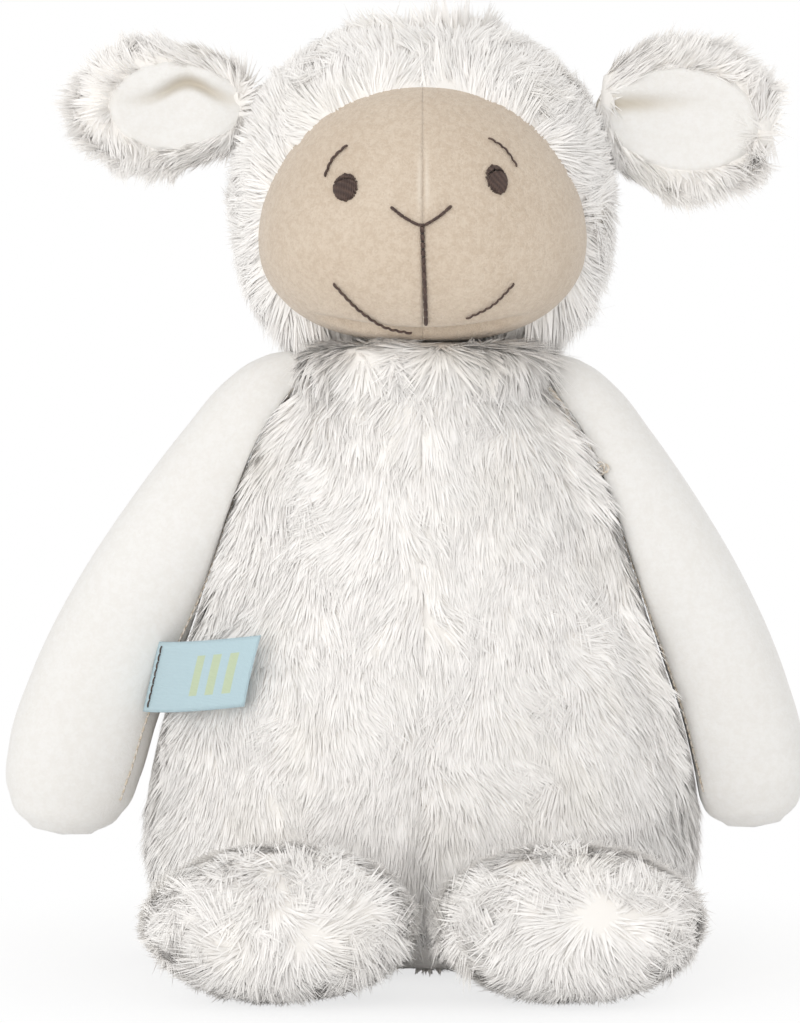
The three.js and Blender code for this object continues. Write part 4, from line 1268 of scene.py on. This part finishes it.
def on_face(across, up):
    """Places on the face's front at shares across and up it, and the directions out of it."""
    x, z = np.asarray(across) * FACE["half_width"], FACE["base"] + np.asarray(up) * FACE["height"]

    def depth(x, z):
        """The front of an ellipse: its half depth times the root of one less the square of the
        share across it."""
        sizes = half_sizes(FACE, z)
        return -FACE["forward"] - sizes[:, 1] * np.sqrt(1 - np.minimum(1, np.abs(x) / sizes[:, 0]) ** 2)

    step = 0.4
    slope_x = (depth(x + step, z) - depth(x - step, z)) / (2 * step)
    slope_z = (depth(x, z + step) - depth(x, z - step)) / (2 * step)
    return np.stack([x, depth(x, z), z], 1), unit(np.stack([slope_x, -np.ones(len(x)), slope_z], 1))


class SHEEP_OT_face(bpy.types.Operator):
    """Make the velour face panels and their embroidery"""

    bl_idname = "sheep.face"
    bl_label = "Face"

    def execute(self, context):
        back = 0.1
        for name, span in {"left": (-QUARTER, back), "right": (-2 * QUARTER - back, -QUARTER)}.items():
            part = panel(face_surface(), face_surface(FACE_CLOTH), span, (-0.008, 1.01), 70, 130)
            x, _, z = part["points"].T
            beside = bell(np.abs(x), 1, 0.6)
            part["along"] = 0.55 * beside * ease(z, 206, 214) * (1 - ease(z, 216, 232))
            fitted(f"face_{name}_velour", part, "velour", "head", f"face_{name}_panel")
        for name, eye in EYES.items():
            self.eye(name, eye)
        for name, places in THREAD_LINES.items():
            self.line(name, places)
        return {"FINISHED"}

    def threads(self, name, node, on, out, lift, radii):
        """Threads laid on the face: places on it, lifted off it along the directions out of it."""
        lines = (on + lift.ravel()[:, None] * out).reshape(*radii.shape, 3)
        fitted(name, tubes(lines, radii), "thread", "head", node)

    def eye(self, name, eye):
        """Satin stitch: parallel threads, each an arch over a domed ellipse, side by side."""
        centre, out = (values[0] for values in on_face([eye["at"][0]], [eye["at"][1]]))
        lean = math.radians(eye["lean"])
        upright = unit(UP - out * out[2])
        sideways = np.cross(upright, out)
        across = sideways * math.cos(lean) + upright * math.sin(lean)
        along = upright * math.cos(lean) - sideways * math.sin(lean)
        rng = np.random.default_rng(7)
        count, steps = 15, 13
        place = np.linspace(-0.95, 0.95, count)[:, None]
        run = np.sin(np.linspace(-QUARTER, QUARTER, steps))[None]
        half = np.sqrt(1 - place**2) * (1 + 0.04 * rng.normal(size=(count, 1)))
        dome = (0.4 + 0.6 * np.sqrt(1 - place**2)) * np.sqrt(1 - run**6)
        flat = (
            centre
            + (place * eye["half_width"])[..., None] * across
            + (run * half * eye["half_height"])[..., None] * along
        ).reshape(-1, 3)
        on, out = on_face(flat[:, 0] / FACE["half_width"], (flat[:, 2] - FACE["base"]) / FACE["height"])
        radii = np.full((count, steps), eye["half_width"] / count * 1.25)
        self.threads(f"eye_{name}_satin", f"eye_{name}", on, out, dome, radii)

    def line(self, name, places):
        """Back stitches along a line: each stitch is a short arch that starts where the last ended."""
        stitch, steps, overlap = 2.1, 7, 0.08
        table = np.array(places, float)
        steps_mm = np.diff(table, axis=0) * [FACE["half_width"], FACE["height"]]
        spread = np.concatenate([[0], np.cumsum(np.linalg.norm(steps_mm, axis=1))])
        count = max(2, round(spread[-1] / stitch))
        share = np.linspace(0, spread[-1], count + 1)
        run = np.linspace(-overlap, 1 + overlap, steps)[None]
        at = np.clip(share[:-1, None] + run * np.diff(share)[:, None], 0, spread[-1])
        flat = through(np.column_stack([spread, table]), at.ravel())
        on, out = on_face(flat[:, 0], flat[:, 1])
        lift = (0.18 + 0.5 * np.sin(math.pi * np.clip(run, 0, 1)) ** 0.6).repeat(count, 0)
        radii = np.interp(run, [-overlap, 0.15, 0.85, 1 + overlap], [0.26, 0.46, 0.46, 0.26])
        radii = np.tile(radii, (count, 1)) * THREAD_WEIGHTS.get(name, 1)
        self.threads(f"{name}_thread", name, on, out, lift, radii)


class SHEEP_OT_ears(bpy.types.Operator):
    """Make the ears: long pile outside and a smooth lining in the hollow"""

    bl_idname = "sheep.ears"
    bl_label = "Ears"

    def execute(self, context):
        for number, name in enumerate(SIDES):
            self.ear(context, name, number)
        return {"FINISHED"}

    def ear(self, context, name, number):
        side, sizes = SIDES[name], EARS[name]
        share, fold, cup = sizes["share"], sizes["fold"], EAR["cup"]
        root = mirrored(EAR["root"], side)
        outward = np.array([side * math.cos(sizes["droop"]), 0, -math.sin(sizes["droop"])])
        upward = unit(UP - outward * (UP @ outward))
        end = root + outward * sizes["length"]
        path = path_table(root, (root + end) / 2, end, 40)
        cup_half = np.array([cup["half_length"], cup["half_height"]]) * share

        def in_bowl(at, more):
            """Shares of the bowl's half sizes, and a little more, along the ear and up it."""
            local = at - root
            across = (local @ outward - sizes["middle"]) / (cup_half[0] + more)
            return across, (local @ upward) / (cup_half[1] + more)

        def leaf(inset, hollow):
            """A limb whose front goes in by a bowl: a depth times one less the square of the
            distance from the bowl's middle."""
            height = EAR["half_height"] * share
            plain = limb(path, BACK, EAR["stations"], height, EAR["half_thickness"], inset)

            def surface(u, v):
                at = plain(u, v)
                across, high = in_bowl(at, 0)
                bowl = np.clip(1 - across**2 - high**2, 0, 1) ** 0.7
                at[:, 1] += np.where(at[:, 1] < root[1], hollow * bowl, 0)
                return at

            return surface

        def beside_bowl(at, out):
            """Whether places are on the ear's back or outside its bowl, and past its root."""
            across, high = in_bowl(at, -0.6)
            return ((out[:, 1] > 0.05) | (across**2 + high**2 > 1)) & ((at - root) @ outward > -2)

        def comb(at, out):
            """Away from the ear's middle line, out towards its tip and a little down."""
            local = at - root
            away = local - outward * (local @ outward)[:, None]
            away = away / (np.linalg.norm(away, axis=1, keepdims=True) + 4)
            return 1.1 * away + outward * 0.75 * ease(local @ outward, 2, 14)[:, None] + UP * -0.1

        inner = leaf(3.4, 8.0)
        look = look_of(
            context, length=8.5, per_mm2=3.4, rise=1.9, rise_spread=0.3, swirl=0.4, width=1.15, roll=0.28
        )
        growth = grow(inner, (0, TURN), (0.02, 1.0), comb, look, 300 + number, keep=beside_bowl)
        cloth = closed(inner, (0.02, 1.0), 48, 40)
        padded_pile(f"ear_{name}_pile", f"ear_{name}", f"ear_{name}_panel", [cloth], [growth])

        def folding(across, high):
            """How far a place is above the fold's line, and a bell curve along that line."""
            line = fold["height"] + fold["slope"] * across + fold["arch"] * bell(across, -0.2, 0.4)
            return high - line, bell(across, fold["at"], fold["reach"])

        def lining(u, v):
            """The ear's own front, a little inside it, hollowed by a bowl and folded: a valley and a
            roll above it."""
            across, high = np.cos(u) * v, np.sin(u) * v
            inside = 1 - v**2
            along = sizes["middle"] + across * (cup_half[0] + 1.5 + 2.5 * (across < 0) * across**2)
            shares = through(EAR["stations"], along / path["length"])
            tall = shares[:, 0] * EAR["half_height"] * share - 2.4
            deep = shares[:, 1] * EAR["half_thickness"] - 2.4
            up = high * (cup_half[1] + 1.5)
            front = deep * np.sqrt(1 - np.clip(up / tall, -0.97, 0.97) ** 2)
            off, reach = folding(across, high)
            valley = fold["depth"] * bell(off, 0, 0.12) * reach * np.sqrt(inside)
            roll = 0.35 * fold["depth"] * bell(off, 0.36, 0.2) * reach * inside
            bowl = cup["depth"] * inside**1.4 * (1 - sizes["lean"] * across) + 1.6 * ease(v, 0.86, 1.0)
            place = root + along[:, None] * outward + up[:, None] * upward
            place[:, 1] = root[1] - front + bowl + valley - roll
            return place

        front = grid_of(lining, lap(48), (0.03, 1.0), 48, 30)
        rows = np.concatenate([front, (front + CLOTH * BACK)[::-1]])
        part = solid(rows if side < 0 else rows[::-1])
        off, reach = folding(*in_bowl(part["points"], 1.5))
        # Painted shade in the crease of the lining's fold.
        part["along"] = fold["tint"] * bell(off, 0, 0.14) * reach
        fitted(f"ear_{name}_smooth", part, "smooth", f"ear_{name}", f"ear_{name}_lining")


def arm_surface(name, inset=0.0):
    """An arm's limb, held outside the body's outline: across the body it goes to the larger of its
    own place and the body's edge, with a rounded corner between them."""
    side, sizes = SIDES[name], ARMS[name]
    corners = (ARM["shoulder"], sizes["bow"], sizes["tip"])
    path = path_table(*(mirrored(corner, side) for corner in corners))
    plain = limb(path, BACK, ARM["stations"], sizes["half_width"], ARM["half_depth"], inset)

    def surface(u, v):
        at = plain(u, v)
        edge = body_width(at[:, 2]) - 0.7 + inset
        over = side * at[:, 0] - edge
        held = edge + np.logaddexp(0, over)
        at[:, 0] = side * np.where(over > 6, side * at[:, 0], held)
        return at

    return surface


class SHEEP_OT_arms(bpy.types.Operator):
    """Make the smooth arms, front and back panels"""

    bl_idname = "sheep.arms"
    bl_label = "Arms"

    def execute(self, context):
        columns, rows, v_span = 50, 120, (-0.16, 1.003)
        for name in SIDES:
            for face, span in {"front": (-TURN / 2, 0.0), "back": (0.0, TURN / 2)}.items():
                surfaces = arm_surface(name), arm_surface(name, ARM_CLOTH)
                part = panel(*surfaces, span, v_span, columns, rows)
                edge = 0.0 if SIDES[name] > 0 else TURN / 2
                u, v = np.meshgrid(np.abs(np.linspace(*span, columns)), np.linspace(*v_span, rows))
                # Painted shade in a band along the arm's inner edge, beside the body.
                band = 0.5 * bell(u, edge, 0.4) * (ease(v, 0.02, 0.15) * (1 - ease(v, 0.7, 0.95)))
                part["along"] = np.tile(band.ravel(), 2)
                node = f"arm_{name}_{face}_panel"
                fitted(f"arm_{name}_{face}_smooth", part, "smooth", f"arm_{name}", node)
            self.seam(name)
        return {"FINISHED"}

    def seam(self, name):
        """The thread of the arm's inner seam: a line on the arm's surface, a little in front of its
        edge, with a short arch for each stitch."""
        count, steps = 46, 5
        run = (np.arange(count)[:, None] + np.linspace(0.06, 0.94, steps)[None]) / count
        v = (0.04 + 0.86 * run).ravel()
        inner = 0.0 if SIDES[name] > 0 else -TURN / 2
        u = np.full(len(v), inner - SIDES[name] * ARM["seam_turn"])
        place, normal, _, _ = frame_at(arm_surface(name), u, v)
        arch = 0.12 + 0.2 * np.sin(math.pi * np.linspace(0, 1, steps))
        lines = (place + normal * np.tile(arch, count)[:, None]).reshape(count, steps, 3)
        piece = make_piece(f"arm_{name}_seam", tubes(lines, np.full((count, steps), 0.26)), finish_of("seam"))
        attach(piece, f"arm_{name}")


class SHEEP_OT_legs(bpy.types.Operator):
    """Make the legs and their round soles"""

    bl_idname = "sheep.legs"
    bl_label = "Legs"

    def execute(self, context):
        for number, (name, side) in enumerate(SIDES.items()):
            self.leg(context, name, side, number)
        return {"FINISHED"}

    def leg(self, context, name, side, number):
        """A leg: a round foot, cut off at its sole, on a short shank. The sole's pile spreads from
        its middle, and the rest is combed forward and away from it."""
        middle, hip = mirrored(LEG["foot"], side), mirrored(LEG["hip"], side)
        inset = context.scene.sheep_pile.inset / MM
        foot, lining = (ball(middle, LEG["radii"], depth) for depth in (inset, inset + CLOTH))
        share = math.acos((middle[1] - LEG["sole_at"]) / (LEG["radii"][1] - inset)) / math.pi

        def sole_comb(at, out):
            """Down at the sole's middle, and away from it further out."""
            offset = (at - middle) * np.array([1, 0.2, 1])
            share = ease(np.linalg.norm(offset, axis=1), 1, 12)[:, None]
            return share * unit(offset) + (1 - share) * np.array([0, 0, -1.0]) + np.array([0, -0.25, -0.1])

        def upper_comb(at, out):
            """Away from the foot's middle line, and forward."""
            return unit((at - middle) * np.array([1, 0, 1])) + np.array([0, -0.45, -0.1])

        def grounded(at, out):
            """Whether tufts are clear of the floor."""
            return at[:, 2] > 2.5

        swirls = {"swirl": 0.45, "swirl_size": 14.0}
        sole_look = look_of(
            context, length=9.5, per_mm2=3.6, rise=1.3, width=1.35, follow_at=lambda at: 0.4, **swirls
        )
        look = look_of(
            context, length=10.0, per_mm2=4.0, rise=1.0, width=1.45, follow_at=lambda at: 0.6, **swirls
        )
        cloth = solid(above_floor(doubled(foot, lining, (0.01, share), 48, 14)))
        growth = grow(
            foot, (0, TURN), (0.02, share), sole_comb, sole_look, 400 + number, grounded, above_floor
        )
        padded_pile(f"sole_{name}_pile", f"leg_{name}", f"sole_{name}_panel", [cloth], [growth])

        cloth = [
            ring_closed(above_floor(doubled(foot, lining, (share, 0.98), 48, 30))),
            rod(hip, middle, 9, LEG["shank"] - 3.0, 20),
        ]
        shank = limb(
            path_table(hip, (hip + middle) / 2, middle, 20), UP, [[0, 1, 1], [1, 1, 1]],
            LEG["shank"], LEG["shank"], 3.0,
        )
        growths = [
            grow(foot, (0, TURN), (share, 0.97), upper_comb, look, 410 + number, grounded, above_floor),
            grow(shank, (0, TURN), (0.1, 0.8), upper_comb, look, 420 + number, tame=above_floor),
        ]
        padded_pile(f"leg_{name}_pile", f"leg_{name}", f"leg_{name}_panel", cloth, growths)


class SHEEP_OT_label(bpy.types.Operator):
    """Make the folded ribbon label and the stitches that hold it"""

    bl_idname = "sheep.label"
    bl_label = "Label"

    def execute(self, context):
        """The ribbon runs out along the label's curve and back, a gap beside it, round a fold."""
        path = path_table(LABEL["root"], LABEL["bend"], LABEL["end"])
        up = np.array([math.sin(LABEL["lean"]), 0, math.cos(LABEL["lean"])])
        length, gap, layer = path["length"], LABEL["gap"], LABEL["layer"]
        steps, rows = 40, 16
        run = np.concatenate([np.linspace(0, 1, steps), np.linspace(1, 0, steps)])
        fold = np.repeat([1.0, -1.0], steps)
        fold[steps - 3 : steps + 3] = [0.95, 0.75, 0.35, -0.35, -0.75, -0.95]
        bulge = np.zeros(2 * steps)
        bulge[steps - 3 : steps + 3] = [0.1, 0.35, 0.5, 0.5, 0.35, 0.1]
        place, tangent = on_path(path, run)
        out = unit(np.cross(tangent, up))
        centre = place + out * (fold * gap)[:, None] + tangent * (bulge * gap)[:, None]
        outward = unit(np.cross(unit(np.gradient(centre, axis=0)), up))
        across = np.linspace(-0.5, 0.5, rows)[:, None, None] * LABEL["width"] * up
        wave = 0.5 * np.sin(np.linspace(0, 3.4, rows))[:, None, None]
        sway = wave * (run[None, :, None] ** 2) * out[None]
        middle, half = centre[None] + across + sway, outward[None] * layer / 2
        part = wall(middle + half, middle - half)
        along = np.tile(np.where(np.arange(2 * steps) < steps, run, 2 - run) * length, rows)
        high = np.repeat(np.linspace(0, LABEL["width"], rows), 2 * steps)
        places = np.stack([np.tile(along, 2), np.tile(high, 2)], 1)[part["quads"].ravel()]
        maps = {"Ribbon": places}
        piece = fitted("label_ribbon", part, "ribbon", "label", "side_label", maps=maps)
        self.stitches(path, up)
        return {"FINISHED"}

    def stitches(self, path, up):
        """A row of stitches across the label near its root, each a short arch."""
        count, steps = 8, 7
        place, tangent = on_path(path, np.array([0.07]))
        out = unit(np.cross(tangent, up))[0]
        heights = np.linspace(-0.44, 0.44, count + 1) * LABEL["width"]
        run = np.linspace(0.04, 0.96, steps)[None]
        along = heights[:-1, None] + run * (heights[1] - heights[0])
        lift = 0.55 + 0.25 * np.sin(math.pi * run).repeat(count, 0)
        lines = place[0] + along[..., None] * up + lift[..., None] * out
        part = tubes(lines, np.full((count, steps), 0.22))
        fitted("label_stitching", part, "thread", "label", "label_stitches")


def lumpy(surface, size, height, seed):
    """A surface with soft lumps: each point moves along its normal by smooth noise."""

    def moved(u, v):
        at, normal, _, _ = frame_at(surface, u, v)
        return at + normal * (height * (waves(at, size, seed)[:, :1] - 1.2))

    return moved


class SHEEP_OT_inside(bpy.types.Operator):
    """Make the fillings, the pellet pouch and the gathered seams"""

    bl_idname = "sheep.inside"
    bl_label = "Inside"

    def execute(self, context):
        self.stuff("torso", lumpy(lump(TORSO, 10), 14, 0.6, 1), (0.2, 0.86), 40)
        self.stuff("head", lumpy(lump(HEAD, 10), 14, 0.6, 2), (0.03, 0.99), 40)
        for name, side in SIDES.items():
            self.stuff(f"arm_{name}", lumpy(arm_surface(name, 3.0), 12, 0.4, 3), (0.1, 0.96), 50)
            foot = ball(mirrored(LEG["foot"], side), LEG["radii"], 10)
            self.stuff(f"leg_{name}", lumpy(foot, 10, 0.5, 4), (0.03, 0.97), 24)
        bag = lumpy(ball(POUCH["middle"], POUCH["radii"], 1.0), 5, 0.35, 5)
        cloth = closed(bag, (0.02, 0.98), 40, 30)
        cloth["points"][:, 2] = np.maximum(cloth["points"][:, 2], POUCH["flat_at"])
        fitted("pellet_bag", cloth, "pellet", "torso", "pellet_pouch")
        for name, side in SIDES.items():
            self.shoulder(name, side)
        return {"FINISHED"}

    def stuff(self, body, surface, v_span, rows):
        """A body's filling."""
        part = closed(surface, v_span, 40, rows)
        fitted(f"{body}_fibre", part, "filling", body, f"{body}_filling")

    def shoulder(self, name, side):
        """An armhole's seam: a gathered ring on the body's outside. On the left a small knot of
        thread lies by it, a closed line that crosses itself three times."""
        turn, ring, own = turns(150), SHOULDER_RING, SHOULDER_RINGS[name]
        y = ARM["shoulder"][1] + own["half_depth"] * np.cos(turn)
        z = ARM["shoulder"][2] + ring["half_height"] * np.sin(turn)
        sizes = half_sizes(TORSO, z)
        x = sizes[:, 0] * np.sqrt(1 - (y / sizes[:, 1]) ** 2) + own["lift"]
        line = np.stack([side * np.minimum(x, sizes[:, 0] - 1.6), y, z], 1)
        parts = [gathered_ring(line[::side], ring["tube"], ring["folds"])]
        if name == "left":
            turn = turns(72)
            reach = 2 + np.cos(3 * turn)
            x, z = reach * np.cos(2 * turn), reach * np.sin(2 * turn)
            knot = KNOT["radius"] / 3 * np.stack([x, 0.8 * np.sin(3 * turn), z], 1)
            parts.append(gathered_ring(np.array(KNOT["at"]) + knot, KNOT["tube"], KNOT["folds"]))
        body = f"shoulder_{name}"
        fitted(f"{body}_gather", joined(parts), "seam", body, f"{body}_seam")


class SHEEP_OT_stage(bpy.types.Operator):
    """Make the floor, the light and the camera"""

    bl_idname = "sheep.stage"
    bl_label = "Stage"

    def execute(self, context):
        scene, stage = context.scene, context.scene.sheep_stage
        scene.view_settings.view_transform = "Standard"
        camera = bpy.data.cameras.new("Camera")
        camera.sensor_fit = "VERTICAL"
        camera.sensor_height = 36
        camera.lens = stage.lens
        target, distance, rise = Vector((-0.0062, 0, 0.125)), 1.4, math.radians(3.5)
        place = target + distance * Vector((0, -math.cos(rise), math.sin(rise)))
        scene.camera = self.aimed("Camera", camera, place, target)
        self.world(scene, stage)
        self.floor(stage)
        self.lamp("Key", stage.key, (-0.5, -1.35, 0.5))
        self.lamp("Back", stage.back, (0.6, 1.35, 0.7))
        return {"FINISHED"}

    def aimed(self, name, data, place, target):
        """A camera or a lamp at a place, facing a target."""
        item = bpy.data.objects.new(name, data)
        item.location = place
        item.rotation_euler = (Vector(target) - item.location).to_track_quat("-Z", "Y").to_euler()
        bpy.context.scene.collection.objects.link(item)
        return item

    def lamp(self, name, power, place):
        """A large soft lamp that faces the sheep's middle."""
        lamp = bpy.data.lights.new(name, "AREA")
        lamp.shape = "RECTANGLE"
        lamp.size, lamp.size_y = 1.2, 1.0
        lamp.energy = power
        lamp.color = (1.0, 0.985, 0.965)
        self.aimed(name, lamp, place, (0, 0, 0.13))

    def shown(self, tree, out, share, first, second):
        """Sends the first shader to the output, and the second by its share of what the camera sees."""
        mix = add_node(tree, "MixShader", share, first, second)
        tree.links.new(mix.outputs[0], out.inputs[0])

    def world(self, scene, stage):
        """Even pale light from all round, and plain white where the camera looks past the floor."""
        world = scene.world = bpy.data.worlds.new("World")
        world.use_nodes = True
        tree = world.node_tree
        tree.nodes.clear()
        light = add_node(tree, "Background", (1.0, 0.995, 0.985, 1), stage.world)
        white = add_node(tree, "Background", (1, 1, 1, 1), 1.0)
        out = add_node(tree, "OutputWorld")
        self.shown(tree, out, seen_by_camera(tree), light.outputs[0], white.outputs[0])

    def floor(self, stage):
        """A round floor that takes the shadow near the sheep and turns white further out."""
        columns, rows, reach = 64, 12, 4000
        radius = (np.linspace(0, 1, rows) ** 2 * reach + 1)[:, None]
        turn = turns(columns)
        grid = np.stack([radius * np.cos(turn), radius * np.sin(turn), np.zeros((rows, columns))], -1)
        points = np.concatenate([grid.reshape(-1, 3), [[0, 0, 0]]])
        i = np.arange(columns)
        tris = np.stack([i, (i + 1) % columns, np.full(columns, rows * columns)], 1)
        material = bpy.data.materials.new("Floor")
        material.use_nodes = True
        tree = material.node_tree
        surface, out = tree.nodes["Principled BSDF"], tree.nodes["Material Output"]
        feed(tree, surface, Base_Color=(*stage.floor, 1), Roughness=0.9)
        distance = add_node(tree, "VectorMath", object_place(tree), operation="LENGTH").outputs["Value"]
        share = product(tree, seen_by_camera(tree), ramp(tree, distance, 0.07, 0.17, 0.74, 1.0))
        white = add_node(tree, "Emission", (1, 1, 1, 1), 1.0)
        self.shown(tree, out, share, surface.outputs[0], white.outputs[0])
        part = patch(points, grid_quads(rows, columns, True)[:, ::-1], tris)
        make_piece("Floor", part, material)


def seen_by_camera(tree):
    """1 for what the camera sees, straight on or in a gloss or a clear piece."""
    rays = add_node(tree, "LightPath").outputs
    gloss = math_node(tree, "MAXIMUM", rays["Is Camera Ray"], rays["Is Glossy Ray"])
    return math_node(tree, "MAXIMUM", gloss, rays["Is Transmission Ray"])


OPERATORS = (
    SHEEP_OT_stage, SHEEP_OT_body, SHEEP_OT_neck, SHEEP_OT_head, SHEEP_OT_face, SHEEP_OT_ears,
    SHEEP_OT_arms, SHEEP_OT_legs, SHEEP_OT_label, SHEEP_OT_inside,
)


class SHEEP_PT_sidebar(bpy.types.Panel):
    """The sheep's sizes, colours and makers in the sidebar"""

    bl_idname = "SHEEP_PT_sidebar"
    bl_label = "Plush sheep"
    bl_space_type = "VIEW_3D"
    bl_region_type = "UI"
    bl_category = "Plush sheep"

    def draw(self, context):
        for group in ("sheep_pile", "sheep_colours", "sheep_stage"):
            box = self.layout.box()
            settings = getattr(context.scene, group)
            for key in type(settings).__annotations__:
                box.prop(settings, key)
        for operator in OPERATORS:
            self.layout.operator(operator.bl_idname)


GROUPS = {"sheep_colours": SheepColours, "sheep_pile": SheepPile, "sheep_stage": SheepStage}


def register():
    for group in (*GROUPS.values(), *OPERATORS, SHEEP_PT_sidebar):
        bpy.utils.register_class(group)
    for name, group in GROUPS.items():
        setattr(bpy.types.Scene, name, bpy.props.PointerProperty(type=group))


def unregister():
    for name in GROUPS:
        delattr(bpy.types.Scene, name)
    for group in reversed((*GROUPS.values(), *OPERATORS, SHEEP_PT_sidebar)):
        bpy.utils.unregister_class(group)


def main():
    register()
    bpy.ops.sheep.stage()
    bpy.ops.sheep.body()
    bpy.ops.sheep.neck()
    bpy.ops.sheep.head()
    bpy.ops.sheep.face()
    bpy.ops.sheep.ears()
    bpy.ops.sheep.arms()
    bpy.ops.sheep.legs()
    bpy.ops.sheep.label()
    bpy.ops.sheep.inside()
    bpy.context.view_layer.update()


if __name__ == "__main__":
    main()
